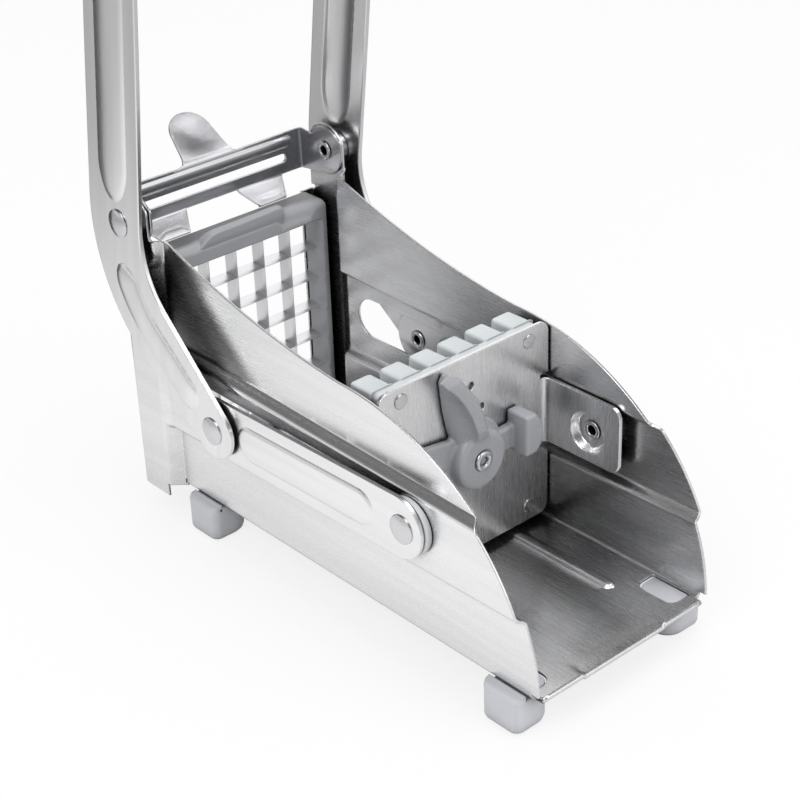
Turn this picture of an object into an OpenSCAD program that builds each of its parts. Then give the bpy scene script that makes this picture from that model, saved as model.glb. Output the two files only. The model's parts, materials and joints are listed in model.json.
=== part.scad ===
// Lever french fry cutter: a folded steel body with a blade cassette at the rear,
// a sliding pusher and a two-armed handle that drives it through a pair of links.
// X runs along the body with the open front at +X, Y across it, Z up, in millimetres.
// The origin is on the table, under the middle of the cutter's overall box.

/* [Body] */
// Clear width between the two side walls
inner_w = 74; // [72:0.5:80]
// Thickness of the folded steel sheet
sheet = 1; // [0.8:0.1:1.2]
// Length of the body from its front lip to its rear edge
body_l = 193; // [188:1:215]
// Height of the side walls where the front curve ends
wall_h = 75; // [70:1:85]
// Length of the curved front edge of the side walls
front_curve_l = 85; // [70:1:100]
// Rise of the wall's top edge from the front curve to the rear
wall_rise = 20; // [14:1:24]
// How far the pressed side bands stand out from the walls
band_out = 3.2; // [2.8:0.1:3.5]
// Height of the lower edge of the side band at the front
band_z0 = 29.2; // [26:0.5:31]
// Height of the upper edge of the side band at the front
band_z1 = 51.8; // [50.5:0.5:54]
// Drop of the band's lower edge from the front to the rear
band_drop = 3; // [1:0.5:4]
// Rise of the band's upper edge from the front to the rear
band_lift = 4.8; // [2:0.2:6]
// Vertical size of the slot in each side band
slot_h = 15; // [12:0.5:17]

/* [Rear channel] */
// How far the rear channel stands out from the walls
channel_out = 4.5; // [4:0.1:4.8]
// Length of the flat part of the rear channel
channel_l = 15; // [14.5:0.5:16.5]
// Length of the slanted step between wall and channel
step_l = 5; // [4:0.5:7]
// How far the channel hangs below the floor
channel_drop = 4.5; // [2:0.5:6]
// Width of the rear lip that stops the cassette, over the clear opening
lip_inset = 0.2; // [0.1:0.1:1]

/* [Feet] */
// Height of the feet under the floor
foot_h = 13.5; // [10:0.5:18]
// Length of a foot along the body
foot_l = 15.5; // [12:0.5:18]
// Width of a foot across the body
foot_w = 16; // [14:0.5:20]
// Distance of the front feet's near face from the front lip
foot_front_gap = 5; // [4:0.5:12]
// Distance of the rear feet's near face from the front lip
foot_rear_gap = 152.5; // [140:0.5:154]

/* [Blades] */
// Distance from blade to blade, which is the size of a chip
cell = 12; // [11.8:0.1:12]
// Number of chips across and up
cells = 6; // [6]
// Thickness of a blade
blade_t = 0.5; // [0.4:0.1:0.7]
// Depth of a blade from its cutting edge to its back
blade_d = 6.5; // [5:0.5:8]
// Thickness of the cassette frame
cassette_t = 10.4; // [9.8:0.1:10.8]
// Width of a cassette side rail
rail_w = 2.9; // [2.4:0.1:3.1]
// Height of the cassette's top bar above the blades' opening
top_bar_h = 7.7; // [6:0.1:8.5]
// Height of the cassette's bottom bar over the floor
bottom_bar_h = 3; // [2:0.5:4]

/* [Handle] */
// Height of the handle's pivot over the underside of the floor
pivot_z = 101; // [100:0.5:104]
// Distance of the handle's pivot from the body's rear edge
pivot_inset = 10.4; // [10:0.1:11]
// Distance from the pivot to the rivet that joins arm and link
crank_l = 74.7; // [73:0.1:76]
// Angle of the arm's lower half ahead of straight down, at rest
crank_rest = 35; // [33:0.5:37]
// How far the handle turns from rest to its stop
handle_turn = 91; // [85:1:91]
// Lean of the upper arms at rest, ahead of upright
arm_lean = 8; // [4:0.5:12]
// Distance from the pivot to the crossbar
handle_l = 232; // [180:2:260]
// Width of an arm at the pivot
arm_w = 27.8; // [24:0.2:30]
// Width of an arm at its lower end
arm_tip_w = 20; // [18:0.5:22]
// Width of an arm at the crossbar
arm_top_w = 22; // [20:0.5:24]
// Thickness of an arm's sheet
arm_t = 1.8; // [1.5:0.1:2.2]
// Radius of the arm's bend below the pivot
arm_bend_r = 45; // [38:1:52]
// Height of the pressed ribs on arms and links
rib_h = 0.8; // [0.5:0.1:0.9]
// Diameter of the crossbar tube
crossbar_d = 14; // [10:0.5:16]
// Diameter of the grip
grip_d = 24; // [20:0.5:30]
// Length of the grip
grip_l = 78; // [50:1:84]

/* [Links] */
// Distance between the link's two rivets
link_l = 89.8; // [88:0.1:91]
// Width of a link
link_w = 21.6; // [20:0.2:24]
// Thickness of a link's sheet
link_t = 1.5; // [1.2:0.1:1.6]
// Height of the pusher's rivets over the underside of the floor
pin_z = 41.8; // [40:0.2:42]

/* [Rivets] */
// Diameter of a rivet's round head
head_d = 9.8; // [9:0.2:11]
// Height of a rivet's round head
head_h = 1.4; // [1:0.1:1.8]
// Diameter of a rivet's shank
shank_d = 6; // [5:0.1:6.4]
// Diameter of a rivet's rolled hollow end
tail_d = 7.6; // [7.2:0.1:8.2]

/* [Pusher] */
// Thickness of the pusher plate
plate_t = 1.5; // [1.2:0.1:2]
// Height of the plate's lower edge over the underside of the floor
plate_z0 = 3.7; // [3:0.1:4.5]
// Height of the plate's upper edge over the underside of the floor
plate_z1 = 75.7; // [74.5:0.1:77]
// Distance from the plate's front face to the pusher's rivets
pin_ahead = 18.5; // [18:0.1:20]
// Length of an ear ahead of its rivet
ear_tip = 14; // [11:0.5:16]
// Height of an ear
ear_h = 24; // [20:0.5:26]
// Side of a square peg
peg = 8.4; // [7:0.1:9.4]
// Length of a peg
peg_l = 10; // [8:0.5:10]
// Thickness of the pegs' backing
backing_t = 4.4; // [3.6:0.1:4.6]

/* [Knob] */
// Radius of the knob's round base
knob_base_r = 13; // [12:0.5:14]
// Radius of the knob's raised hub
hub_r = 10.5; // [9:0.5:11]
// Height of the hub over the plate
hub_h = 7; // [5:0.5:8]
// Reach of the knob's thumb wing from its axis
wing_reach = 38; // [32:0.5:40]
// Reach of the knob's two side arms from its axis
knob_arm = 26; // [22:0.5:28]

/* [Latch] */
// Gap between the body's rear edge and the latch strap
latch_gap = 3.5; // [3:0.1:4.5]
// Thickness of the latch's sheet
latch_t = 1; // [0.8:0.1:1.2]
// Height of the latch strap
strap_h = 15; // [13:0.5:16]
// Length of the thumb tongue
tongue_l = 21; // [16:0.5:26]
// Width of the thumb tongue at its root
tongue_w = 24; // [18:0.5:28]
// Slope of the thumb tongue over level, leaning back
tongue_slope = 40; // [30:1:60]

/* [Hidden] */
$fn = 48;

// Clearances
run_gap = 0.05;   // a bore round a shank that turns in it
slide_gap = 0.3;  // faces that pass each other
seat_gap = 0.1;   // faces that rest on each other
eps = 0.01;

// Distances from the middle plane, one side
wall_y = inner_w / 2;
wall_out_y = wall_y + sheet;
band_y = wall_y + band_out;
band_out_y = band_y + sheet;
channel_y = wall_y + channel_out;
channel_out_y = channel_y + sheet;
tail_h = 0.8;
link_y = channel_out_y + slide_gap + tail_h + seat_gap;
link_out_y = link_y + link_t;
arm_y = link_out_y + rib_h + 0.2;
arm_out_y = arm_y + arm_t;
foot_out_y = wall_out_y + 4;

// Places along the body, measured back from the front lip
rear_x = -body_l;
channel_x = rear_x + channel_l;
step_x = channel_x + step_l;
pivot_x = rear_x + pivot_inset;
pivot = [pivot_x, pivot_z];
curve_x = -front_curve_l;
lip_x = rear_x + sheet;

// Linkage: the crank's end and the pusher's rivet, at rest and at the stop
function crank_end(turn) = [
    pivot_x + crank_l * sin(crank_rest - turn),
    pivot_z - crank_l * cos(crank_rest - turn)
];
function pin_place(turn) = [
    crank_end(turn)[0] + sqrt(pow(link_l, 2) - pow(pin_z - crank_end(turn)[1], 2)),
    pin_z
];
elbow = crank_end(0);
pin = pin_place(0);
pin_stop = pin_place(handle_turn);

// Pusher
plate_x = pin[0] - pin_ahead;
plate_back_x = plate_x - plate_t;
backing_x = plate_back_x - backing_t;
plate_half_w = wall_y - 0.5;
ear_y = plate_half_w - plate_t;
bush_r = slot_h / 2 - slide_gap;
flange_r = bush_r + 2.3;
dish_r = bush_r;
dish_out_y = band_y - 0.8;

// Grid of chips
grid_w = cell * cells;
grid_z0 = sheet + bottom_bar_h;
grid_mid_z = grid_z0 + grid_w / 2;
cassette_x = lip_x + seat_gap;
cassette_front_x = cassette_x + cassette_t;
cassette_half_w = grid_w / 2 + rail_w;
cassette_top_z = grid_z0 + grid_w + top_bar_h;
blade_x = cassette_x + 0.4;

// Latch
strap_x = rear_x - latch_gap;
strap_z0 = pivot_z - 10.4;
lug_y = channel_y - 0.2 - latch_t;
tongue_back = latch_t / 2 + tongue_l * cos(tongue_slope) + latch_t / 2 * sin(tongue_slope);

// Overall box along X: the tongue's tip at the rear, the floor's lip at the front
rear_reach = strap_x - tongue_back;
mid_x = -rear_reach / 2;

steel = "#c9c9cb";
bright_steel = "#dcdcde";
pale_grey = "#cdd2d3";
mid_grey = "#9a9ba0";

module in_place() translate([mid_x, 0, foot_h]) children();

// An upright plate: a flat shape in (x, z) made t thick from y0 outwards
module side_plate(y0, t) translate([0, y0 + t, 0]) rotate([90, 0, 0]) linear_extrude(t) children();

// A plate across the body: a flat shape in (y, z) made t thick from x0 forwards
module cross_plate(x0, t) translate([x0, 0, 0]) rotate([90, 0, 90]) linear_extrude(t) children();

// A round rod across the body from y0 outwards, at the place p in (x, z)
module rod(p, y0, l, d) translate([p[0], y0, p[1]]) rotate([-90, 0, 0]) cylinder(d = d, h = l);

// A rivet's domed head on the face at y0
module dome(p, y0) {
    cap_r = (pow(head_d / 2, 2) + pow(head_h, 2)) / (2 * head_h);
    translate([p[0], y0, p[1]]) rotate([-90, 0, 0]) intersection() {
        translate([0, 0, head_h - cap_r]) sphere(cap_r, $fn = 96);
        cylinder(d = head_d, h = head_h);
    }
}

module on_left() mirror([0, 1, 0]) children();
module both_sides() {
    children();
    on_left() children();
}

// A flat bar with round ends
module bar(p, q, r) {
    run = norm(q - p);
    translate(p) circle(r);
    translate(q) circle(r);
    translate(p) rotate(atan2(q[1] - p[1], q[0] - p[0])) translate([0, -r]) square([run, 2 * r]);
}

module round_square(x, z, w, h, r) {
    translate([x + r, z]) square([w - 2 * r, h]);
    translate([x, z + r]) square([w, h - 2 * r]);
    for (px = [x + r, x + w - r], pz = [z + r, z + h - r]) translate([px, pz]) circle(r);
}

// ---- Body -------------------------------------------------------------------------------

// Side view of a wall ahead of the step: a quarter ellipse, then a slow rise to the rear
function wall_top(s) = wall_h + wall_rise * (0.35 * s + 0.65 * s * s);
rise_steps = 10;
module wall_view() {
    rise_l = curve_x - step_x;
    front = [for (a = [0:5:90]) [curve_x * (1 - cos(a)), wall_h * sin(a)]];
    rise = [for (i = [1:rise_steps]) [curve_x - rise_l * i / rise_steps, wall_top(i / rise_steps)]];
    polygon(concat(front, rise, [[step_x, 0]]));
}

// Side view of the rear channel, whose top is a round ear that reaches forward over a small
// shelf at the top of the slanted step
ear_r = 9.3;
shelf_z = pivot_z - 10.5;
ear_front_x = channel_x + 3.5;
module channel_view() {
    shoulder_z = pivot_z + 6;
    translate([rear_x + ear_r, pivot_z]) circle(ear_r);
    polygon([
        [rear_x, -channel_drop], [channel_x, -channel_drop], [channel_x, shelf_z],
        [ear_front_x, shelf_z], [ear_front_x, shoulder_z - 1], [ear_front_x - 1, shoulder_z],
        [rear_x, pivot_z]
    ]);
}

// The wall is flat, then stands out in a band that widens to the rear, then flat again. Its
// sheets run a little past each crease, where a slanted strip joins them.
crease_h = 2.6;
ledge_h = 1.2;
lap = 0.6;
strip_t = 0.9;
band_low = [band_z0, band_z0 - band_drop];
band_high = [band_z1, band_z1 + band_lift];
module wall_part(y, low, high) side_plate(y, sheet) intersection() {
    wall_view();
    polygon([[0, low[0]], [0, high[0]], [step_x, high[1]], [step_x, low[1]]]);
}

// A strip from the middle of one sheet to the middle of the next, from and to in (y, z), run
// along an edge that starts at z0 and ends rise higher at the step
module crease_strip(from, to, z0, rise) {
    across = strip_t / 2 * [from[1] - to[1], to[0] - from[0]] / norm(to - from);
    run = norm([step_x, rise]) + 5;
    intersection() {
        translate([0, 0, z0]) rotate([0, atan2(rise, -step_x), 0]) cross_plate(-run, run + 5)
            polygon([from + across, to + across, to - across, from - across]);
        side_plate(wall_y - 5, 20) wall_view();
    }
}

module wall_sheet() {
    mid_y = wall_y + sheet / 2;
    wall_part(wall_y, [0, 0], band_low - [1, 1] * (crease_h - lap));
    wall_part(band_y, band_low - [lap, lap], band_high + [lap, lap]);
    wall_part(wall_y, band_high + [1, 1] * (ledge_h - lap), [200, 200]);
    crease_strip([mid_y, -crease_h], [mid_y + band_out, 0], band_low[0], -band_drop);
    crease_strip([mid_y, ledge_h], [mid_y + band_out, 0], band_high[0], band_lift);
}

// A length of the slanted step, from the wall's planes out to the channel's
module step_sheet(inner_y, outer_y, z0, z1) {
    translate([0, 0, z0]) linear_extrude(z1 - z0) polygon([
        [step_x, inner_y], [step_x, outer_y],
        [channel_x, channel_out_y], [channel_x, channel_y]
    ]);
}

module step_sheets() {
    low = band_low[1];
    high = band_high[1];
    step_sheet(wall_y, wall_out_y, 0, low - crease_h);
    step_sheet(wall_y, band_out_y, low - crease_h, low);
    step_sheet(band_y, band_out_y, low, high);
    step_sheet(wall_y, band_out_y, high, high + ledge_h);
    step_sheet(wall_y, wall_out_y, high + ledge_h, shelf_z + sheet);
}

// The level shelf between the top of the step and the ear
module ear_shelf() {
    step_y = wall_y + channel_out * (step_x - ear_front_x) / step_l;
    translate([0, 0, shelf_z]) linear_extrude(sheet) polygon([
        [channel_x, channel_y], [channel_x, channel_out_y],
        [ear_front_x, channel_out_y], [ear_front_x, step_y]
    ]);
}

module slot_view() {
    bar([pin_stop[0] - 4, pin_z], pin, slot_h / 2);
}

module side_wall() {
    difference() {
        wall_sheet();
        side_plate(band_y - 1, sheet + 2) slot_view();
    }
    step_sheets();
    ear_shelf();
    difference() {
        side_plate(channel_y, sheet) channel_view();
        rod(pivot, channel_y - 1, sheet + 2, shank_d + 2 * run_gap);
    }
    // rear lip that the cassette stands against
    translate([rear_x, grid_w / 2 + lip_inset, -channel_drop])
        cube([sheet, channel_out_y - grid_w / 2 - lip_inset, cassette_top_z + channel_drop]);
}

// A pressed rib along the floor, with the groove under it
rib_y = 21;
rib_r = 2;
module floor_rib(r, z0, h) {
    translate([0, 0, z0]) linear_extrude(h) bar([step_x + 30, rib_y], [-27, rib_y], r);
}

// Opening over a foot, with its inner corners rounded
module foot_hole(gap) {
    w = foot_w - 6;
    translate([-gap - foot_l, wall_y - w, -5]) linear_extrude(10) difference() {
        round_square(0, 0, foot_l, w + 10, 4);
        translate([-1, w]) square([foot_l + 2, 12]);
    }
}

module body_shell() color(steel) in_place() {
    difference() {
        union() {
            translate([rear_x, -wall_out_y, 0]) cube([body_l, 2 * wall_out_y, sheet]);
            translate([-6, -wall_y + 1, -sheet]) cube([6, 2 * wall_y - 2, 2 * sheet]);
            both_sides() floor_rib(rib_r, 0, sheet + 1);
            both_sides() side_wall();
        }
        both_sides() floor_rib(rib_r - 0.8, -1, sheet + 1.2);
        both_sides() for (gap = [foot_front_gap, foot_rear_gap]) foot_hole(gap);
    }
}

// ---- Feet -------------------------------------------------------------------------------

// Plan of a foot: flat outside, round inside
module foot_plan(trim) {
    r = foot_l / 2 - 1;
    translate([-foot_l + trim, foot_out_y - foot_w + r])
        square([foot_l - 2 * trim, foot_w - r - trim]);
    translate([-foot_l + r + trim, foot_out_y - foot_w + r]) circle(r);
    translate([-r - trim, foot_out_y - foot_w + r]) circle(r);
}

module foot(gap) color(mid_grey) in_place() translate([-gap, 0, 0]) difference() {
    union() {
        translate([0, 0, -foot_h]) linear_extrude(1) foot_plan(1);
        translate([0, 0, 1 - foot_h]) linear_extrude(foot_h - 1 - seat_gap) foot_plan(0);
        // collar outside the wall, and the plug that fills the floor's opening
        translate([-foot_l, wall_out_y + seat_gap, -1])
            cube([foot_l, foot_out_y - wall_out_y - seat_gap, 1.5]);
        translate([0, 0, -1]) linear_extrude(sheet + 0.6) translate([-foot_l + 0.3, wall_y - foot_w + 6.3])
            round_square(0, 0, foot_l - 0.6, foot_w - 6.6, 3.7);
    }
    // the step that the front hem and the channel need
    translate([gap - 6 - slide_gap, -60, -sheet - seat_gap]) cube([40, 60 + wall_y + 20, 40]);
}

// ---- Cassette ---------------------------------------------------------------------------

tab_w = 27;
module cassette_frame() color(pale_grey) in_place() difference() {
    union() {
        side_plate(-cassette_half_w, 2 * cassette_half_w) polygon([
            [cassette_x, sheet + seat_gap], [cassette_front_x, sheet + seat_gap],
            [cassette_front_x, cassette_top_z - 3.2], [cassette_front_x - 1.6, cassette_top_z - 1.2],
            [cassette_front_x - 5, cassette_top_z], [cassette_x, cassette_top_z]
        ]);
        // thumb ridge along the front of the top bar
        side_plate(-tab_w / 2, tab_w) polygon([
            [cassette_front_x - 3.6, cassette_top_z - 4], [cassette_front_x, cassette_top_z - 4],
            [cassette_front_x + 0.4, cassette_top_z + 2], [cassette_front_x - 1, cassette_top_z + 3],
            [cassette_front_x - 3, cassette_top_z + 1]
        ]);
    }
    translate([cassette_x - 1, -grid_w / 2, grid_z0]) cube([cassette_t + 2, grid_w, grid_w]);
    // grooves that hold the ends of the blades
    for (i = [1:cells - 1]) {
        translate([blade_x - 2, -grid_w / 2 + i * cell - blade_t / 2 - run_gap, grid_z0 - 1.6])
            cube([blade_d + 2, blade_t + 2 * run_gap, grid_w + 3.2]);
        translate([blade_x - 2, -grid_w / 2 - 1.6, grid_z0 + i * cell - blade_t / 2 - run_gap])
            cube([blade_d + 2, grid_w + 3.2, blade_t + 2 * run_gap]);
    }
}

// A blade on edge with a bevelled front, half slotted where the others cross it
module blade(from_front) {
    reach = grid_w / 2 + 1.5;
    bevel = 1.4;
    difference() {
        rotate([90, 0, 0]) translate([0, 0, -reach]) linear_extrude(2 * reach) polygon([
            [0, -blade_t / 2], [blade_d - bevel, -blade_t / 2], [blade_d, -0.06],
            [blade_d, 0.06], [blade_d - bevel, blade_t / 2], [0, blade_t / 2]
        ]);
        for (i = [1:cells - 1])
            translate([from_front ? blade_d / 2 - run_gap : -1, -grid_w / 2 + i * cell - blade_t / 2 - run_gap, -1])
                cube([blade_d / 2 + 1 + run_gap, blade_t + 2 * run_gap, 2]);
    }
}

module horizontal_blades() color(bright_steel) in_place()
    for (i = [1:cells - 1]) translate([blade_x, 0, grid_z0 + i * cell]) blade(true);

module vertical_blades() color(bright_steel) in_place()
    for (i = [1:cells - 1])
        translate([blade_x, -grid_w / 2 + i * cell, grid_mid_z]) rotate([90, 0, 0]) blade(false);

// ---- Handle -----------------------------------------------------------------------------

// The arm's middle line is an upper straight, an arc and a lower straight to the elbow
axis_back = 2.6;
up_dir = [sin(arm_lean), cos(arm_lean)];
low_turn = 50;
low_dir = [sin(low_turn), -cos(low_turn)];
arm_root = [pivot_x - axis_back, pivot_z];
knee = let (d = elbow - arm_root, s = (d[1] * low_dir[0] - d[0] * low_dir[1])
    / (low_dir[0] * up_dir[1] - low_dir[1] * up_dir[0])) arm_root + s * up_dir;
bend = low_turn + arm_lean;
bend_run = arm_bend_r * tan(bend / 2);
bend_start = knee + bend_run * up_dir;
bend_mid = bend_start + arm_bend_r * [up_dir[1], -up_dir[0]];
arm_end = arm_root + handle_l * up_dir;
arc_steps = 8;
arm_line = concat(
    [for (s = [0, 0.35, 0.62, 0.8, 1]) arm_end + s * (bend_start - arm_end)],
    [for (i = [1:arc_steps]) let (a = 180 - arm_lean + i * bend / arc_steps)
        bend_mid + arm_bend_r * [cos(a), sin(a)]],
    [elbow]
);
arm_half = concat(
    [arm_top_w, arm_top_w + 0.5, arm_w - 2.2, arm_w, arm_w] / 2,
    [for (i = [1:arc_steps]) arm_w - 2.6 * i / arc_steps] / 2,
    [arm_tip_w / 2]
);
function heading(line, i) = let (
    d = line[min(i + 1, len(line) - 1)] - line[max(i - 1, 0)]) d / norm(d);
function edge(line, half, side) = [for (i = [0:len(line) - 1])
    line[i] + side * half[i] * [heading(line, i)[1], -heading(line, i)[0]]];
module ribbon(line, half) {
    right_edge = edge(line, half, 1);
    left_edge = edge(line, half, -1);
    polygon(concat(right_edge, [for (i = [len(line) - 1:-1:0]) left_edge[i]]));
}

module arm_view() {
    ribbon(arm_line, arm_half);
    translate(arm_end) circle(arm_top_w / 2);
    translate(elbow) circle(arm_tip_w / 2);
}

// The long rib above the pivot and the short one below it, as flat shapes
upper_rib_r = 7.2;
lower_rib_r = 5;
rib_clear = 17;
module rib_view(trim) {
    bar(arm_root + rib_clear * up_dir, arm_end - 26 * up_dir, upper_rib_r - trim);
    points = [for (i = [7:len(arm_line) - 2]) arm_line[i]];
    stop = elbow - 19 * low_dir;
    line = concat(points, [stop]);
    ribbon(line, [for (p = line) lower_rib_r - trim]);
    translate(points[0]) circle(lower_rib_r - trim);
    translate(stop) circle(lower_rib_r - trim);
}

module handle_arm() difference() {
    union() {
        side_plate(arm_y, arm_t) arm_view();
        side_plate(arm_out_y - eps, rib_h + eps) rib_view(0);
    }
    side_plate(arm_y - 1, 1 + rib_h) rib_view(1.2);
    rod(pivot, arm_y - 1, arm_t + 2, shank_d + 2 * run_gap);
    rod(elbow, arm_y - 1, arm_t + 2, shank_d + 2 * run_gap);
    rod(arm_end, arm_y - 1, arm_t + 2, screw_d + 2 * run_gap);
}
module handle_arm_right() color(steel) in_place() handle_arm();
module handle_arm_left() color(steel) in_place() on_left() handle_arm();

// Crossbar tube between the arms, its grip and the screw at each end
screw_d = 5;
tube_wall = 1.6;
thread_l = 12;
module handle_crossbar() color(steel) in_place() difference() {
    rod(arm_end, -arm_y + seat_gap, 2 * (arm_y - seat_gap), crossbar_d);
    rod(arm_end, -arm_y + thread_l, 2 * (arm_y - thread_l), crossbar_d - 2 * tube_wall);
    both_sides() rod(arm_end, arm_y - thread_l - 1, thread_l + 2, screw_d + 2 * run_gap);
}

module handle_grip() color(mid_grey) in_place() translate([arm_end[0], -grip_l / 2, arm_end[1]])
    rotate([-90, 0, 0]) rotate_extrude() {
        bore_r = crossbar_d / 2 + run_gap;
        r = grip_d / 2;
        polygon(concat(
            [[bore_r, 0]],
            [for (a = [-90:15:0]) [r - 3 + 3 * cos(a), 3 + 3 * sin(a)]],
            [for (i = [1:11]) [r - 1.2 * sin(180 * i / 12), 3 + (grip_l - 6) * i / 12]],
            [for (a = [0:15:90]) [r - 3 + 3 * cos(a), grip_l - 3 + 3 * sin(a)]],
            [[bore_r, grip_l]]
        ));
    }

module crossbar_screws() color(bright_steel) in_place() both_sides() {
    rod(arm_end, arm_y - thread_l + 2, thread_l - 2 + arm_t, screw_d);
    dome(arm_end, arm_out_y);
}

// ---- Rivets and spacers -----------------------------------------------------------------

// A rivet from its hollow rolled end at y0 to its head on the face at y1
module hollow_rivet(p, y0, y1, head) difference() {
    union() {
        rod(p, y0, tail_h, tail_d);
        rod(p, y0, y1 - y0, shank_d);
        if (head) dome(p, y1);
    }
    rod(p, y0 - 1, 3.2, shank_d - 2);
}

module ring(p, y0, l, d) difference() {
    rod(p, y0, l, d);
    rod(p, y0 - 1, l + 2, shank_d + 2 * run_gap);
}

module pivot_rivet() hollow_rivet(pivot, lug_y - seat_gap - tail_h, arm_out_y + seat_gap, true);
module pivot_rivet_right() color(bright_steel) in_place() pivot_rivet();
module pivot_rivet_left() color(bright_steel) in_place() on_left() pivot_rivet();

spacer_d = 17;
module pivot_spacer() ring(pivot, channel_out_y, arm_y - channel_out_y - seat_gap, spacer_d);
module pivot_spacer_right() color(steel) in_place() pivot_spacer();
module pivot_spacer_left() color(steel) in_place() on_left() pivot_spacer();

module arm_rivet() hollow_rivet(elbow, link_y - seat_gap - tail_h, arm_out_y, true);
module arm_rivet_right() color(bright_steel) in_place() arm_rivet();
module arm_rivet_left() color(bright_steel) in_place() on_left() arm_rivet();

module arm_washer() ring(elbow, link_out_y + seat_gap, arm_y - link_out_y - seat_gap, 13);
module arm_washer_right() color(steel) in_place() arm_washer();
module arm_washer_left() color(steel) in_place() on_left() arm_washer();

// ---- Links ------------------------------------------------------------------------------

link_rib_r = 5.2;
link_slope = atan2(pin[1] - elbow[1], pin[0] - elbow[0]);
// The link lies along X from the arm's rivet, and is then tilted into place
module link() translate([elbow[0], 0, elbow[1]]) rotate([0, -link_slope, 0]) difference() {
    rib_ends = [[17.5, 0], [link_l - 19.5, 0]];
    union() {
        side_plate(link_y, link_t) bar([0, 0], [link_l - 2.2, 0], link_w / 2);
        side_plate(link_out_y - eps, rib_h + eps) bar(rib_ends[0], rib_ends[1], link_rib_r);
    }
    side_plate(link_y - 1, 1 + rib_h) bar(rib_ends[0], rib_ends[1], link_rib_r - 1.2);
    rod([0, 0], link_y - 1, link_t + 2, shank_d + 2 * run_gap);
    rod([link_l, 0], link_y - 1, link_t + 2, shank_d + 2 * run_gap);
}
module link_right() color(steel) in_place() link();
module link_left() color(steel) in_place() on_left() link();

// Outer half of the rivet that joins link and pusher; the pivot is open behind it
module link_stud() {
    rod(pin, link_y, link_t, shank_d);
    dome(pin, link_out_y);
}
module link_stud_right() color(bright_steel) in_place() link_stud();
module link_stud_left() color(bright_steel) in_place() on_left() link_stud();

// ---- Pusher -----------------------------------------------------------------------------

ear_z0 = pin_z - 10.4;
hub_z = pin_z - 0.3;
knob_shank_d = 5;
block_rivet_y = 27.5;
block_rivet_z = [9.5, 71];
module block_rivet_places() for (y = [-block_rivet_y, block_rivet_y], z = block_rivet_z)
    translate([0, y, z]) children();

module pusher_ear() {
    difference() {
        union() {
            side_plate(ear_y, plate_t) difference() {
                union() {
                    translate([plate_x - eps, ear_z0]) square([pin_ahead + ear_tip - 4, ear_h]);
                    round_square(pin[0], ear_z0, ear_tip, ear_h, 4);
                }
            }
            rod(pin, ear_y, dish_out_y - ear_y, 2 * dish_r);
        }
        rod(pin, ear_y - 1, dish_out_y - plate_t - ear_y + 1, 2 * dish_r - 2 * plate_t);
        rod(pin, ear_y - 1, 20, shank_d + 2 * run_gap);
    }
}

module pusher_plate() color(steel) in_place() {
    difference() {
        cross_plate(plate_back_x, plate_t)
            round_square(-plate_half_w, plate_z0, 2 * plate_half_w, plate_z1 - plate_z0, 4);
        block_rivet_places() rotate([0, 90, 0]) translate([0, 0, plate_back_x - 1])
            cylinder(d = 4 + 2 * run_gap, h = plate_t + 2);
        translate([plate_back_x - 1, 0, hub_z]) rotate([0, 90, 0])
            cylinder(d = knob_shank_d + 2 * run_gap, h = plate_t + 2);
        // two click holes for the knob
        for (p = [[1.8, 23.3], [6.2, 14.2]]) translate([plate_back_x - 1, p[0], hub_z + p[1]])
            rotate([0, 90, 0]) cylinder(d = 2.6, h = plate_t + 2);
    }
    both_sides() pusher_ear();
}

peg_pull = 1.4;
module peg_block() color(pale_grey) in_place() difference() {
    half = cells * cell / 2 - (cell - peg) / 2;
    union() {
        cross_plate(backing_x, backing_t)
            round_square(-half, grid_mid_z - half, 2 * half, 2 * half, 2);
        for (i = [0:cells - 1], j = [0:cells - 1])
            translate([backing_x - peg_l, -half + i * cell, grid_mid_z - half + j * cell])
                cube([peg_l + eps, peg, peg]);
    }
    block_rivet_places() rotate([0, 90, 0]) translate([0, 0, plate_back_x - 3.1])
        cylinder(d = 4 + 2 * run_gap, h = 4);
    translate([backing_x - peg_l - 1, 0, hub_z]) rotate([0, 90, 0])
        cylinder(d = knob_shank_d + 2 * run_gap, h = peg_l + backing_t + 2);
    translate([backing_x - peg_l - 1, 0, hub_z]) rotate([0, 90, 0]) cylinder(d = 9, h = peg_l + 1 + peg_pull);
}

module block_rivets() color(bright_steel) in_place() block_rivet_places()
    rotate([0, 90, 0]) {
        translate([0, 0, plate_back_x - 3]) cylinder(d = 4, h = plate_t + 3);
        translate([0, 0, plate_x]) cylinder(d = 5.2, h = 0.5);
    }

// Stepped bush that runs in the side slot, and the rivet through it
module slot_bush() difference() {
    union() {
        rod(pin, dish_out_y, band_out_y + 0.2 - dish_out_y, 2 * bush_r);
        rod(pin, band_out_y + 0.2, link_y - slide_gap - band_out_y - 0.2, 2 * flange_r);
    }
    rod(pin, dish_out_y - 1, 20, shank_d + 2 * run_gap);
}
module slot_bush_right() color(steel) in_place() slot_bush();
module slot_bush_left() color(steel) in_place() on_left() slot_bush();

module slot_rivet() hollow_rivet(pin, dish_out_y - plate_t - tail_h, link_y - slide_gap, false);
module slot_rivet_right() color(bright_steel) in_place() slot_rivet();
module slot_rivet_left() color(bright_steel) in_place() on_left() slot_rivet();

// ---- Knob -------------------------------------------------------------------------------

knob_x = plate_x + 0.2;
module at_knob() in_place() translate([knob_x, 0, hub_z]) rotate([90, 0, 90]) children();

module knob_rivet() color(bright_steel) at_knob() {
    shank_back = plate_t + backing_t + 0.2;
    difference() {
        union() {
            translate([0, 0, -shank_back]) cylinder(d = knob_shank_d, h = shank_back + hub_h + 0.1);
            translate([0, 0, -shank_back]) cylinder(d = 8, h = peg_pull);
            translate([0, 0, hub_h + 0.05]) cylinder(d = 7, h = 0.7);
        }
        translate([0, 0, hub_h - 2]) cylinder(d = 3, h = 4);
    }
}

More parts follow.
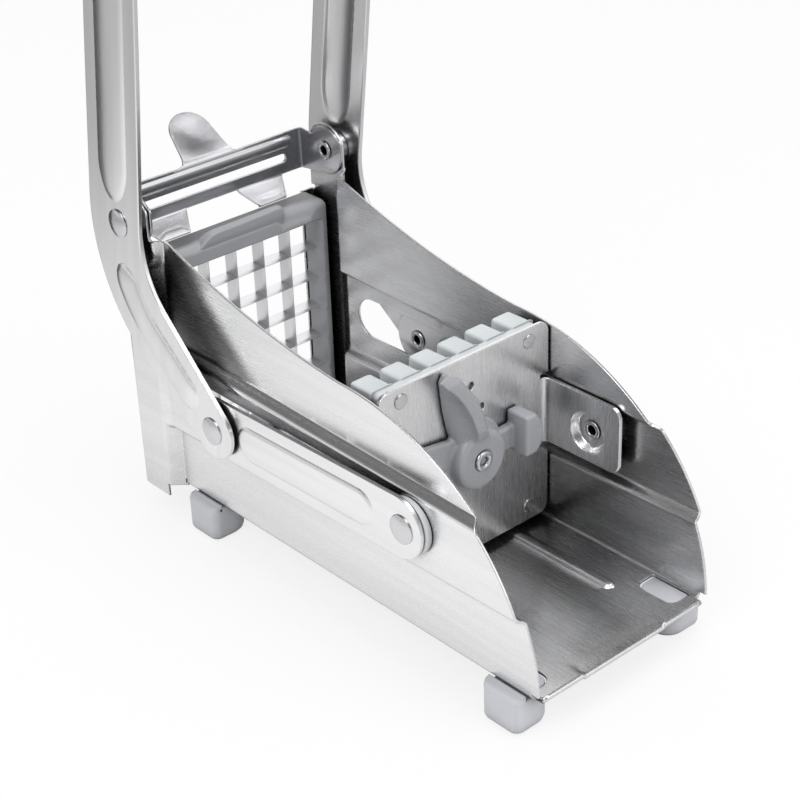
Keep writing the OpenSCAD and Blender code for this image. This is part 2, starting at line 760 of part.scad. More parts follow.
wing_t = 9;
block_t = 9.5;
module lock_knob() color(mid_grey) at_knob() {
    base_t = 2.4;
    difference() {
        union() {
            cylinder(r = knob_base_r, h = base_t);
            cylinder(r = hub_r, h = hub_h);
            // side arms, and the finger block on the right one
            linear_extrude(base_t + 1) bar([0, 0], [knob_arm - 8, 1], 4.2);
            linear_extrude(base_t) bar([0, 3], [-knob_arm + 5.5, 5.5], 5.5);
            linear_extrude(block_t) {
                translate([knob_arm - 11, -9]) square([5.5, 18]);
                bar([knob_arm - 6.5, -3], [knob_arm - 6.5, 3], 6);
            }
            // thumb wing
            linear_extrude(wing_t) polygon([
                [-12, 8], [-15, 20], [-wing_reach / 2, wing_reach * 0.88], [-wing_reach * 0.42, wing_reach * 0.95],
                [-wing_reach * 0.3, wing_reach * 0.94], [-5, wing_reach * 0.75], [-1, 18], [0, 9]
            ]);
        }
        translate([0, 0, -1]) cylinder(d = knob_shank_d + 2 * run_gap, h = hub_h + 2);
    }
}

// ---- Latch ------------------------------------------------------------------------------

tab_root = [11.5, 31];
tab_end = [15.5, 27];
lip_reach = 8;
module latch_strap() {
    difference() {
        union() {
            cross_plate(strap_x - latch_t, latch_t)
                translate([-lug_y - latch_t, strap_z0]) square([2 * (lug_y + latch_t), strap_h]);
            // rib along the upper edge
            cross_plate(strap_x - eps, 0.7) bar([-lug_y + 6, strap_z0 + strap_h - 3.4],
                [lug_y - 6, strap_z0 + strap_h - 3.4], 1.4);
        }
        cross_plate(strap_x - latch_t - 1, latch_t + 3)
            bar([-32, strap_z0 + 5.8], [32, strap_z0 + 5.8], 1.7);
    }
}

// One sloped tab from the strap's lower edge, ending in a small turned-down lip
tab_drop = 5.2;
module latch_tab() {
    slope = atan2(tab_drop, lip_reach);
    run = norm([tab_drop, lip_reach]);
    translate([strap_x - latch_t, 0, strap_z0]) rotate([0, slope, 0])
        translate([0, 0, -latch_t / 2]) linear_extrude(latch_t) polygon([
            [0, tab_root[0]], [run, tab_end[0]], [run, tab_end[1]], [0, tab_root[1]]
        ]);
    translate([strap_x - latch_t + lip_reach - 0.6, tab_end[0], strap_z0 - tab_drop - 0.9])
        cube([latch_t, tab_end[1] - tab_end[0], 1.6]);
}

module latch_tongue() {
    tip_r = 8;
    translate([strap_x - latch_t / 2, 0, strap_z0 + strap_h - latch_t / 2]) rotate([0, tongue_slope + 180, 0])
        translate([0, 0, -latch_t / 2]) linear_extrude(latch_t) {
            polygon([[0, -tongue_w / 2], [0, tongue_w / 2], [tongue_l - tip_r, tip_r + 0.6],
                [tongue_l - tip_r, -tip_r - 0.6]]);
            translate([tongue_l - tip_r - 0.5, 0]) circle(tip_r + 0.5);
        }
}

// The lug turns inside the ear, over the shelf
module latch_lug() difference() {
    lug_r = pivot_z - shelf_z - sheet - 0.8;
    side_plate(lug_y, latch_t) {
        translate(pivot) circle(lug_r);
        polygon([
            [strap_x - latch_t, strap_z0], [strap_x - latch_t, strap_z0 + strap_h],
            pivot + [0, lug_r], pivot - [0, lug_r]
        ]);
    }
    rod(pivot, lug_y - 1, latch_t + 2, shank_d + 2 * run_gap);
}

module cassette_latch() color(steel) in_place() {
    latch_strap();
    latch_tongue();
    both_sides() {
        latch_tab();
        latch_lug();
    }
}

// -----------------------------------------------------------------------------------------

module foot_front_right() foot(foot_front_gap);
module foot_front_left() on_left() foot(foot_front_gap);
module foot_rear_right() foot(foot_rear_gap);
module foot_rear_left() on_left() foot(foot_rear_gap);

body_shell();
foot_front_left();
foot_front_right();
foot_rear_left();
foot_rear_right();
cassette_frame();
vertical_blades();
horizontal_blades();
pivot_rivet_left();
pivot_rivet_right();
pivot_spacer_left();
pivot_spacer_right();
handle_arm_left();
handle_arm_right();
handle_crossbar();
handle_grip();
crossbar_screws();
arm_rivet_left();
arm_rivet_right();
arm_washer_left();
arm_washer_right();
link_left();
link_right();
link_stud_left();
link_stud_right();
pusher_plate();
peg_block();
block_rivets();
slot_bush_left();
slot_bush_right();
slot_rivet_left();
slot_rivet_right();
knob_rivet();
lock_knob();
cassette_latch();
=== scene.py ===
"""Looks of a lever french fry cutter: a folded steel body with a blade cassette at its rear,
a sliding pusher, and a two-armed handle that drives it through a pair of links.

Lengths are in millimetres in the cutter's own frame: X is 0 at the front lip and runs back
as negative numbers, Y is 0 in the middle plane, Z is 0 at the underside of the floor."""

import json
import math

import bpy
import numpy as np
from bpy.props import FloatProperty, FloatVectorProperty, PointerProperty
from mathutils import Matrix, Vector
from mathutils.geometry import delaunay_2d_cdt


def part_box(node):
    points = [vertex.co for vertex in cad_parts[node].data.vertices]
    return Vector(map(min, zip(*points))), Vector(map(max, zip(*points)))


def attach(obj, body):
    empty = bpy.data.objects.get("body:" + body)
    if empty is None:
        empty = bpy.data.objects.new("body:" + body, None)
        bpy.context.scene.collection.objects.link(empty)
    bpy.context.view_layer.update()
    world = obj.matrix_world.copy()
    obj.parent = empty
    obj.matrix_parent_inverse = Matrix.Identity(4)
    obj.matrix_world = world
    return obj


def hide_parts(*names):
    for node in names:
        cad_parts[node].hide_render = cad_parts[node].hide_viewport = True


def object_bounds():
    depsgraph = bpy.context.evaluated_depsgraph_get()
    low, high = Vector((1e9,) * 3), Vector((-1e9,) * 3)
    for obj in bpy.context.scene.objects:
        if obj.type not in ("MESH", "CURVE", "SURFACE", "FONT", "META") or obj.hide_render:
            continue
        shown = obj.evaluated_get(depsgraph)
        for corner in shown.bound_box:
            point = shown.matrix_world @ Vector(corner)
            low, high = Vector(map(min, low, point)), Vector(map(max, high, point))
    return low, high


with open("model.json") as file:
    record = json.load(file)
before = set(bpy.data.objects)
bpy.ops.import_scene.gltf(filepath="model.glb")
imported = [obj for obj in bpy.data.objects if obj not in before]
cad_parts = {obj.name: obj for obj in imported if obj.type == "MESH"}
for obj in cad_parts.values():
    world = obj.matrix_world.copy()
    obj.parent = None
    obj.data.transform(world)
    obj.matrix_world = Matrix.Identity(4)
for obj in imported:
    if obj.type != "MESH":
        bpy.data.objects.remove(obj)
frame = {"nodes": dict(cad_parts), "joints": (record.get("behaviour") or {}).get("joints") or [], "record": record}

bl_info = {
    "name": "French fry cutter",
    "version": (1, 0, 0),
    "blender": (4, 5, 0),
    "location": "3D View > Sidebar > Cutter",
    "description": "Builds the pressed, turned and moulded pieces of a lever french fry cutter",
    "category": "Object",
}

CAD_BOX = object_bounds()
MM = 0.001

# ---- Places taken from the frame ---------------------------------------------------------

CHANNEL_DROP = 4.5  # how far the rear channel hangs below the floor
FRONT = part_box("body_shell")[1].x / MM
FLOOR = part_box("body_shell")[0].z / MM + CHANNEL_DROP
JOINTS = {joint["name"]: joint for joint in frame["joints"]}


def node_box(node):
    """Lowest and highest corner of a CAD node, as arrays in the cutter's own frame"""
    return [np.array(corner) / MM - (FRONT, 0, FLOOR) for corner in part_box(node)]


def joint_place(name):
    """Point (x, z) of a joint's axis"""
    x, _, z = JOINTS[name]["pos_m"]
    return np.array([x / MM - FRONT, z / MM - FLOOR])


def middle_of(node):
    """Middle (x, z) of a CAD node"""
    low, high = node_box(node)
    return ((low + high) / 2)[[0, 2]]


PIVOT = joint_place("handle_pivot")
ELBOW = joint_place("link_right_pivot")
PIN = middle_of("link_stud_right")
SHELL = node_box("body_shell")
ARM = node_box("handle_arm_right")
LINK = node_box("link_right")
PLATE = node_box("pusher_plate")
BLOCK = node_box("peg_block")
FRAME = node_box("cassette_frame")
KNOB = node_box("lock_knob")
BUSH = node_box("slot_bush_right")
BAR_END = middle_of("crossbar_screws")
LINK_SLOPE = math.atan2(PIN[1] - ELBOW[1], PIN[0] - ELBOW[0])
BODY_OF = {name: body for body, names in frame["record"]["behaviour"]["bodies"].items() for name in names}

# Folded sheet of the body: thickness, and a quarter turn of a fold, 1 mm inside and 2 outside
SHEET = 1.0
QUARTER_L = 2.36
# the channel stands out from the walls, whose inner faces are in the plane WALL_Y
CHANNEL_OUT = 4.5
CHANNEL_Y = SHELL[1][1] - SHEET
WALL_Y = CHANNEL_Y - CHANNEL_OUT
# top edge: a curve up from the front lip, then a rise to the ear
WALL_H = 75.0
WALL_RISE = 20.0
CURVE_L = 85.0
# going forward from the rear: channel, slanted step, wall; the ear stands above them
REAR_X = SHELL[0][0]
CHANNEL_X = REAR_X + 15
STEP_X = CHANNEL_X + 5
EAR_X = CHANNEL_X + 3.5
EAR_R = 9.3
# band pressed outwards round the slot: its edges at the front lip and how they part to the rear
BAND_OUT = 3.2
BAND_LOW = 29.2
BAND_HIGH = 51.8
BAND_DROP = 3.0
BAND_LIFT = 4.8
LOW_CREASE = 3.0
HIGH_CREASE = 3.4
SLOT_R = 7.5
SLOT_REAR_X = -160.44
# top and inner edge of the channel's rear flange
LIP_TOP = 83.7
LIP_Y = 36.2
# feet, and how far behind the front lip each pair starts
FOOT_L = 15.5
FOOT_GAPS = {"front": 5.0, "rear": 152.5}
# beads pressed up in the floor, and the hem at its front
BEAD_Y = 21.0
BEAD_R = 2.0
BEAD_ENDS = (STEP_X + 30, -27.0)
BEAD_H = 1.0
HEM_L = 6.0
PLAY = 0.1  # between pieces that touch

# Handle and links: sheets, with the height of the CAD's ribs over their outer faces
ARM_T = 1.8
LINK_T = 1.5
RIB_H = 0.8
ARM_Y = ARM[1][1] - RIB_H - ARM_T
LINK_Y = LINK[1][1] - RIB_H - LINK_T
# the arm leans forward above the pivot and turns forward below it, ARM_BACK behind the pivot
ARM_LEAN = math.radians(8)
LOWER_TURN = math.radians(50)
ARM_BACK = 2.6
ARM_BEND_R = 45.0
ARM_WIDTHS = (22.0, 27.8, 20.0)  # at the top, the pivot and the elbow

# Rivets and what they run through
SPACER_D = 12.0
WASHER_D = 13.0
HEAD_D = 9.8
HEAD_H = 1.4
SHANK_D = 6.0
TAIL_D = 6.8
BORE_L = 4.5
AXIS_R = 0.01  # a turned profile ends this close to its axis

# Blades and pegs: six cells each way
PITCH = 12.0
CELLS = 6


# ---- Small helpers -----------------------------------------------------------------------

def linear(hex_colour):
    """Linear red, green and blue of an sRGB hex colour"""
    parts = [int(hex_colour[i:i + 2], 16) / 255 for i in (0, 2, 4)]
    return tuple(c / 12.92 if c <= 0.04045 else ((c + 0.055) / 1.055) ** 2.4 for c in parts)


def ramp(t, soft=0.35):
    """Rises from 0 to 1 as t does, straight in the middle and eased over soft at both ends"""
    t = np.clip(t, 0, 1)
    slope = 1 / (1 - soft)
    start = slope * t * t / (2 * soft)
    end = 1 - slope * (1 - t) ** 2 / (2 * soft)
    return np.where(t < soft, start, np.where(t > 1 - soft, end, slope * (t - soft / 2)))


def rib_section(offset, half_width, crown, shoulder=1.9):
    """Height of a pressed rib, 1 on its ridge: a steep shoulder, then a low crown across it"""
    rise = ramp((half_width - offset) / shoulder, 0.5)
    return (1 - crown) * rise + crown * np.clip(1 - (offset / half_width) ** 2, 0, None)


def offset_to_run(x, z, start, end, reach=1.0):
    """Offset of points from the straight run start to end; past the ends it grows reach times slower"""
    run = np.subtract(end, start)
    length = np.hypot(*run)
    along = ((x - start[0]) * run[0] + (z - start[1]) * run[1]) / length
    across = ((z - start[1]) * run[0] - (x - start[0]) * run[1]) / length
    past = np.maximum(np.maximum(-along, along - length), 0) / reach
    return np.hypot(past, across)


def arc(centre, radius, start, end, steps=12):
    """Points on an arc from start to end, in degrees"""
    angles = [math.radians(start + (end - start) * i / steps) for i in range(steps + 1)]
    return [(centre[0] + radius * math.cos(a), centre[1] + radius * math.sin(a)) for a in angles]


def round_slot(start, end, radius, steps=16):
    """Outline of a slot with round ends"""
    heading = math.degrees(math.atan2(end[1] - start[1], end[0] - start[0]))
    return (arc(end, radius, heading - 90, heading + 90, steps)
            + arc(start, radius, heading + 90, heading + 270, steps))


def round_corners(corners, radii, steps=6):
    """Outline through the corners, each rounded to its radius"""
    points = []
    count = len(corners)
    for i, (corner, radius) in enumerate(zip(corners, radii)):
        here = np.array(corner, float)
        before = np.array(corners[i - 1], float) - here
        after = np.array(corners[(i + 1) % count], float) - here
        before /= np.hypot(*before)
        after /= np.hypot(*after)
        if radius <= 0:
            points.append(tuple(here))
            continue
        half = math.acos(np.clip(before @ after, -1, 1)) / 2
        bisector = (before + after) / np.hypot(*(before + after))
        centre = here + bisector * radius / math.sin(half)
        first = here + before * radius / math.tan(half) - centre
        last = here + after * radius / math.tan(half) - centre
        start = math.atan2(first[1], first[0])
        sweep = (math.atan2(last[1], last[0]) - start + math.pi) % (2 * math.pi) - math.pi
        for k in range(steps + 1):
            a = start + sweep * k / steps
            points.append((centre[0] + radius * math.cos(a), centre[1] + radius * math.sin(a)))
    return points


def rivet_hole(place):
    """Outline of the hole that a rivet's shank runs through"""
    return arc(place, SHANK_D / 2 + PLAY, 0, 345, 23)


def mirrored(parts):
    """The same parts on the other side of the middle plane"""
    flipped = []
    for points, faces, normals in parts:
        flip = np.array([1, -1, 1])
        flipped.append((points * flip, [face[::-1] for face in faces], normals * flip))
    return flipped


# ---- Pressed sheet -----------------------------------------------------------------------

def signed_area(loop):
    """Area of a loop, positive where it runs anticlockwise"""
    x, y = loop[:, 0], loop[:, 1]
    return (x * np.roll(y, -1) - y * np.roll(x, -1)).sum() / 2


def dense(loop, step):
    """The loop with its long sides split into runs no longer than step"""
    points = []
    for a, b in zip(loop, np.roll(loop, -1, axis=0)):
        count = max(1, math.ceil(np.hypot(*(b - a)) / step))
        points += [a + (b - a) * i / count for i in range(count)]
    return np.array(points)


def inset_vectors(loop, widths):
    """Moves that take each corner of a loop inwards by its sides' widths"""
    sides = np.roll(loop, -1, axis=0) - loop
    normals = np.stack([-sides[:, 1], sides[:, 0]], 1) / np.hypot(*sides.T)[:, None]
    moves = []
    for i in range(len(loop)):
        n0, n1 = normals[i - 1], normals[i]
        w0, w1 = widths[i - 1], widths[i]
        turn = n0[0] * n1[1] - n0[1] * n1[0]
        if abs(turn) > 0.05:
            moves.append(np.array([w0 * n1[1] - w1 * n0[1], w1 * n0[0] - w0 * n1[0]]) / turn)
        else:
            moves.append((n0 + n1) / 2 * min(w0, w1))
    return np.array(moves)


def inside(points, loops):
    """Which points lie within the first loop and outside the others"""
    result = np.zeros(len(points), bool)
    x, y = points[:, 0][:, None], points[:, 1][:, None]
    for loop in loops:
        x0, y0 = loop[:, 0][None], loop[:, 1][None]
        x1, y1 = np.roll(loop[:, 0], -1)[None], np.roll(loop[:, 1], -1)[None]
        crosses = (y0 > y) != (y1 > y)
        rise = np.where(y1 == y0, 1, y1 - y0)
        result ^= ((crosses & (x < (x1 - x0) * (y - y0) / rise + x0)).sum(1) % 2).astype(bool)
    return result


def far_from(points, loops, gaps):
    """Which points are further than their own gap from every loop"""
    keep = np.ones(len(points), bool)
    for loop in loops:
        a = loop[None]
        d = (np.roll(loop, -1, axis=0) - loop)[None]
        p = points[:, None] - a
        share = np.clip((p * d).sum(2) / np.maximum((d * d).sum(2), 1e-12), 0, 1)
        gap = np.hypot(*np.moveaxis(p - d * share[..., None], 2, 0)).min(1)
        keep &= gap > gaps
    return keep


def surface_normals(surface, u, v, nudge=0.02):
    """Unit normals of surface(u, v), from points nudged both ways"""
    across = surface(u + nudge, v) - surface(u - nudge, v)
    up = surface(u, v + nudge) - surface(u, v - nudge)
    normals = np.cross(across, up)
    return normals / np.linalg.norm(normals, axis=1)[:, None]


SAME = 1e-6  # sides closer than this to a line lie on it
BOW = 0.012  # a sheet that bows more than this from point to point gets every point
BENT_GAP, FLAT_GAP = 0.45, 1.6  # how far points stay from a cut, in steps
DIAGONAL = 0.29  # share of an edge's radius that its middle lies in from both faces


def grid_points(surface, outline, cuts, fine, coarse):
    """Points of a grid between the cuts: all of them where the surface bends, and one in coarse
    each way where it is flat"""
    low, high = outline.min(0), outline.max(0)
    counts = np.ceil((high - low) / fine).astype(int)
    grid_i, grid_j = np.meshgrid(np.arange(1, counts[0]), np.arange(1, counts[1]), indexing="ij")
    grid_i, grid_j = grid_i.ravel(), grid_j.ravel()
    u, v = low[0] + grid_i * fine, low[1] + grid_j * fine
    here = surface(u, v)
    bent = np.zeros(len(u))
    for du, dv in ((fine, 0), (0, fine)):
        bow = surface(u + du, v + dv) + surface(u - du, v - dv) - 2 * here
        bent = np.maximum(bent, np.linalg.norm(bow, axis=1))
    detailed = bent > BOW
    keep = detailed | ((grid_i % coarse == 0) & (grid_j % coarse == 0))
    points = np.stack([u, v], 1)[keep]
    gaps = np.where(detailed[keep], BENT_GAP, FLAT_GAP) * fine
    points = points[far_from(points, cuts, gaps)]
    return points[inside(points, cuts)]


def pressed_sheet(surface, outline, holes=(), thick=1.0, edge=0.3, side=1.0, fine=0.6, coarse=8,
                  is_open=None, back=None):
    """A sheet cut to outline with holes, pressed to surface(u, v) and thick away from it.

    Every cut edge is rounded by edge. Sides no longer than side run along the cuts, points lie
    every fine where the surface bends and coarse times that where it is flat. is_open(middles)
    marks sides that another sheet carries on from. back(u, v) is the hidden face of a solid
    whose thickness varies."""
    loops = []
    for i, loop in enumerate([outline, *holes]):
        loop = np.array(loop, float)
        loop = loop[np.hypot(*(loop - np.roll(loop, 1, axis=0)).T) > 1e-4]
        if (signed_area(loop) > 0) != (i == 0):
            loop = loop[::-1]
        loops.append(dense(loop, side))
    open_sides = []
    for loop in loops:
        middles = (loop + np.roll(loop, -1, axis=0)) / 2
        open_sides.append(is_open(middles) if is_open else np.zeros(len(loop), bool))
    moves = [inset_vectors(loop, np.where(shut, 0, edge)) for loop, shut in zip(loops, open_sides)]
    inner = [loop + move for loop, move in zip(loops, moves)]

    flat = np.concatenate([*inner, grid_points(surface, loops[0], inner, fine, coarse)])
    sides, first = [], 0
    for loop in inner:
        count = len(loop)
        sides += [(first + i, first + (i + 1) % count) for i in range(count)]
        first += count
    result = delaunay_2d_cdt([Vector(p) for p in flat], sides, [], 0, 1e-7)
    flat = np.array([tuple(p) for p in result[0]])
    triangles = np.array(result[2])
    triangles = triangles[inside(flat[triangles].mean(1), inner)]

    def face_points(uv, depth):
        """Points depth below the front, or above the back where depth is negative"""
        front = surface(uv[:, 0], uv[:, 1])
        normals = surface_normals(surface, uv[:, 0], uv[:, 1])
        if back is None:
            return front - normals * (depth if depth >= 0 else thick + depth), normals
        through = back(uv[:, 0], uv[:, 1]) - front
        length = np.linalg.norm(through, axis=1)[:, None]
        return front + through * (depth if depth >= 0 else length + depth) / length, normals

    count = len(flat)
    front, front_n = face_points(flat, 0)
    if back is None:
        rear, rear_n = front - front_n * thick, -front_n
    else:
        rear = back(flat[:, 0], flat[:, 1])
        rear_n = -surface_normals(back, flat[:, 0], flat[:, 1])
    points3, normals3 = [front, rear], [front_n, rear_n]
    faces = [list(t) for t in triangles]
    faces += [[t[0] + count, t[2] + count, t[1] + count] for t in triangles]

    # rings round each cut: share of the move inwards, depth, and how far normals face on and out
    depths = [(DIAGONAL, DIAGONAL * edge, 0.7, 0.7), (0, edge, 0, 1),
              (0, -edge, 0, 1), (DIAGONAL, -DIAGONAL * edge, -0.7, 0.7)]
    first = 0
    base = 2 * count
    for loop, move, shut in zip(loops, moves, open_sides):
        size = len(loop)
        rim_front, _ = face_points(loop, 0)
        in_front, _ = face_points(loop + move, 0)
        rings = [np.arange(first, first + size)]
        for share, depth, facing, outward in depths:
            ring, normals = face_points(loop + move * share, depth)
            out = rim_front - in_front
            out -= normals * (out * normals).sum(1)[:, None]
            length = np.linalg.norm(out, axis=1)[:, None]
            out = np.where(length > 1e-6, out / np.maximum(length, 1e-6), 0)
            points3.append(ring)
            normals3.append(normals * facing + out * outward)
            rings.append(np.arange(base, base + size))
            base += size
        rings.append(np.arange(first, first + size) + count)
        for i in range(size):
            if shut[i]:
                continue
            j = (i + 1) % size
            for upper, lower in zip(rings, rings[1:]):
                faces.append([upper[i], lower[i], lower[j], upper[j]])
        first += size
    return np.concatenate(points3), faces, np.concatenate(normals3)


# ---- Turned and lofted forms -------------------------------------------------------------

def turned(profile, place, axis="Y", steps=48):
    """A form turned from a closed profile of (radius, distance along the axis), at place"""
    points = []
    angles = [2 * math.pi * i / steps for i in range(steps)]
    for radius, along in profile:
        for a in angles:
            side, up = radius * math.cos(a), radius * math.sin(a)
            points.append((up, along, side) if axis == "Y" else (along, side, up))
    points = np.array(points) + place
    faces = []
    count = len(profile)
    for i in range(count):
        j = (i + 1) % count
        for k in range(steps):
            m = (k + 1) % steps
            faces.append([i * steps + k, j * steps + k, j * steps + m, i * steps + m])
    return points, faces, np.zeros_like(points)


def lofted(rings):
    """Skin over closed rings of points, shut at both ends"""
    size = len(rings[0])
    points = np.concatenate([np.array(ring, float) for ring in rings])
    faces = [list(range(size))[::-1], list(range(len(points) - size, len(points)))]
    for i in range(len(rings) - 1):
        for k in range(size):
            m = (k + 1) % size
            faces.append([i * size + k, i * size + m, (i + 1) * size + m, (i + 1) * size + k])
    return points, faces, np.zeros_like(points)


def stacked(plan, middle, rows, level=True):
    """Skin over copies of a plan at each of rows' (height, share), shrunk to that share about its
    middle. The plan lies level, or stands across the cutter where level is False"""
    rings = []
    for height, share in rows:
        ring = middle + (np.array(plan) - middle) * share
        heights = np.full(len(ring), height)
        rings.append(np.column_stack([ring, heights] if level else [heights, ring]))
    return lofted(rings)


def square(middle, side):
    """Corners of a square that reaches side each way from its middle"""
    return [(middle[0] + side * a, middle[1] + side * b) for a, b in ((-1, -1), (1, -1), (1, 1), (-1, 1))]


def softened(profile, radius, steps=3):
    """A turned piece's profile with every corner rounded"""
    return round_corners(profile, [radius] * len(profile), steps)


# ---- Objects -----------------------------------------------------------------------------

WELD = 2e-4  # points closer than this are one


def chosen(context, size):
    """A size from the panel, in millimetres"""
    return getattr(context.scene.cutter_sizes, size) / MM


def piece(name, parts, body, slot, material, nodes, sharp=35):
    """One object from parts, on its body, in place of its CAD nodes"""
    points, faces, normals = [], [], []
    base = 0
    for part_points, part_faces, part_normals in parts:
        points.append(part_points)
        normals.append(part_normals)
        faces += [[int(i) + base for i in face] for face in part_faces]
        base += len(part_points)
    points = np.concatenate(points)
    normals = np.concatenate(normals)
    _, kept, merged = np.unique(np.round(points / WELD).astype(np.int64), axis=0,
                                return_index=True, return_inverse=True)
    merged = merged.ravel()
    points, normals = points[kept], normals[kept]
    whole = []
    for face in faces:
        around = [int(merged[i]) for i in face]
        around = [a for a, b in zip(around, around[1:] + around[:1]) if a != b]
        if len(set(around)) > 2:
            whole.append(around)
    mesh = bpy.data.meshes.new(name)
    places = (points + (FRONT, 0, FLOOR)) * MM
    mesh.from_pydata(places.tolist(), [], whole)
    mesh.validate()
    mesh.polygons.foreach_set("use_smooth", [True] * len(mesh.polygons))
    mesh.set_sharp_from_angle(angle=math.radians(sharp))
    if np.abs(normals).max() > 0:
        lengths = np.linalg.norm(normals, axis=1)[:, None]
        mesh.normals_split_custom_set_from_vertices(
            np.where(lengths > 0.5, normals / np.maximum(lengths, 1e-9), 0).tolist())
    mesh.materials.append(material)
    made = bpy.data.objects.new(name, mesh)
    bpy.context.scene.collection.objects.link(made)
    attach(made, body)
    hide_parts(*nodes)
    return made


def both_sides(name, way, parts, slot, material, sharp=35):
    """The right piece and its mirror image on the left, each in place of its own CAD node"""
    for side, made in (("right", parts), ("left", mirrored(parts))):
        node = f"{name}_{side}"
        piece(f"{node}_{way}", made, BODY_OF[node], slot, material, [node], sharp)


def moulded(made, voxel, rounds):
    """Melts a piece's parts into one skin of cells of voxel and softens it, as a moulding is"""
    remesh = made.modifiers.new("skin", "REMESH")
    remesh.mode = "VOXEL"
    remesh.voxel_size = voxel * MM
    soften = made.modifiers.new("soften", "SMOOTH")
    soften.factor = 0.5
    soften.iterations = rounds
    bpy.context.view_layer.update()
    evaluated = made.evaluated_get(bpy.context.evaluated_depsgraph_get())
    mesh = bpy.data.meshes.new_from_object(evaluated)
    made.modifiers.clear()
    mesh.materials.clear()
    mesh.materials.append(made.data.materials[0])
    made.data = mesh
    mesh.polygons.foreach_set("use_smooth", [True] * len(mesh.polygons))
    return made


# ---- Materials ---------------------------------------------------------------------------

def add(tree, kind, settings=None, **inputs):
    """Adds a node. Settings are its own properties; inputs are values, or (node, output) links"""
    made = tree.nodes.new(kind)
    for key, value in (settings or {}).items():
        setattr(made, key, value)
    for key, value in inputs.items():
        socket = made.inputs[int(key[1:])] if key[1:].isdigit() else made.inputs[key.replace("_", " ")]
        if isinstance(value, tuple) and isinstance(value[0], bpy.types.Node):
            tree.links.new(value[0].outputs[value[1]], socket)
        else:
            socket.default_value = value
    return made


def new_material(name):
    """A material with an empty node tree, and that tree"""
    made = bpy.data.materials.new(name)
    made.use_nodes = True
    made.node_tree.nodes.clear()
    return made, made.node_tree


def shaded(colour, share):
    """A colour made lighter or darker, as a value for a socket"""
    return [min(1.0, c * share) for c in colour] + [1.0]


def grains(tree, size, detail, turn=0.0, roughness=0.5):
    """Noise over the surface's own coordinates, in grains of a real size in millimetres"""
    place = add(tree, "ShaderNodeTexCoord")
    scaled = add(tree, "ShaderNodeMapping", {"vector_type": "TEXTURE"}, Vector=(place, "Object"),
                 Scale=[length * MM for length in size], Rotation=(0, turn, 0))
    return add(tree, "ShaderNodeTexNoise", Vector=(scaled, "Vector"), Scale=1.0, Detail=detail,
               Roughness=roughness)


def with_painted_shade(tree, tint, reach, shut, open_, darkest):
    """The tint with painted shade, darker in corners and between parts: darkest where no more than
    shut of what lies within reach millimetres is open, and untouched where open_ or more is"""
    # painted shade: ambient occlusion within reach darkens the colour towards black
    corners = add(tree, "ShaderNodeAmbientOcclusion", {"samples": 6}, Distance=reach * MM)
    painted_shade = add(tree, "ShaderNodeMapRange", Value=(corners, "AO"), From_Min=shut, From_Max=open_,
               To_Min=darkest, To_Max=1.0)
    mixed = add(tree, "ShaderNodeMix", {"data_type": "RGBA"}, Factor=(painted_shade, "Result"),
                _6=[0.0, 0.0, 0.0, 1.0], _7=tint)
    return mixed, 2


def surfaced(tree, colour, pattern, roughness, strength, depth, **settings):
    """Ends a material: the pattern moves its roughness between two values and raises it by depth
    millimetres at a strength"""
    rough = add(tree, "ShaderNodeMapRange", Value=(pattern, "Fac"), From_Min=0.3, From_Max=0.7,
                To_Min=roughness[0], To_Max=roughness[1])
    raised = add(tree, "ShaderNodeBump", Height=(pattern, "Fac"), Strength=strength, Distance=depth * MM)
    shader = add(tree, "ShaderNodeBsdfPrincipled", Base_Color=colour, Roughness=(rough, "Result"),
                 Normal=(raised, "Normal"), **settings)
    add(tree, "ShaderNodeOutputMaterial", Surface=(shader, "BSDF"))


def brushed_steel(name, colour, roughness, grain, turn=0.0, painted_shade=(25, 0.05, 0.5, 0.25), streaks=0.015):
    """Cold-rolled stainless steel sheet with a brushed finish: fine scratches one way, which
    stretch its reflections and leave soft light and dark streaks. The scratches of the real one
    are finer than the render can show, so they are drawn 0.4 mm wide"""
    made, tree = new_material(name)
    scratches = grains(tree, grain, 4.0, turn, 0.65)
    # broad bands of the polishing belt, some ten scratches wide
    belt = [size * (11 if size == min(grain) else 3) for size in grain]
    bands = grains(tree, belt, 2.0, turn)
    shade = add(tree, "ShaderNodeMapRange", Value=(bands, "Fac"), From_Min=0.35, From_Max=0.65,
                To_Min=0.0, To_Max=1.0)
    tint = add(tree, "ShaderNodeMix", {"data_type": "RGBA"}, Factor=(shade, "Result"),
               _6=shaded(colour, 0.97), _7=shaded(colour, 1.03))
    # painted shade: the colour is darkened where other surfaces close in round it, in corners and between parts
    surfaced(tree, with_painted_shade(tree, (tint, 2), *painted_shade), scratches, (roughness - streaks, roughness + streaks),
             0.2, 0.1 * streaks, Metallic=1.0)
    return made


def plated_steel(name, colour, roughness):
    """Nickel-plated steel, tumbled smooth: bright, with faint marks of the setting tool"""
    made, tree = new_material(name)
    marks = grains(tree, (0.8, 0.8, 0.8), 3.0)
    # painted shade: the colour is darkened where other surfaces close in round it, in corners and between parts
    surfaced(tree, with_painted_shade(tree, [*colour, 1.0], 6, 0.1, 0.7, 0.06), marks,
             (roughness - 0.05, roughness + 0.08), 0.1, 0.02, Metallic=1.0)
    return made


def moulded_plastic(name, colour, roughness, grain, depth=0.03):
    """Plastic or rubber from a spark-eroded mould: an even, very fine pebbled skin with a soft,
    wide highlight"""
    made, tree = new_material(name)
    pebbles = grains(tree, (grain,) * 3, 2.0, 0.0, 0.6)
    # slow drift of shade over the moulding, where the melt cooled unevenly
    drift = grains(tree, (14, 14, 14), 1.0)
    tint = add(tree, "ShaderNodeMix", {"data_type": "RGBA"}, Factor=(drift, "Fac"),
               _6=shaded(colour, 0.94), _7=shaded(colour, 1.06))
    # painted shade: the colour is darkened where other surfaces close in round it, in corners and between parts
    surfaced(tree, with_painted_shade(tree, (tint, 2), 9, 0.05, 0.7, 0.3), pebbles,
             (roughness - 0.05, roughness + 0.05), 0.4, depth, IOR=1.54)
    return made
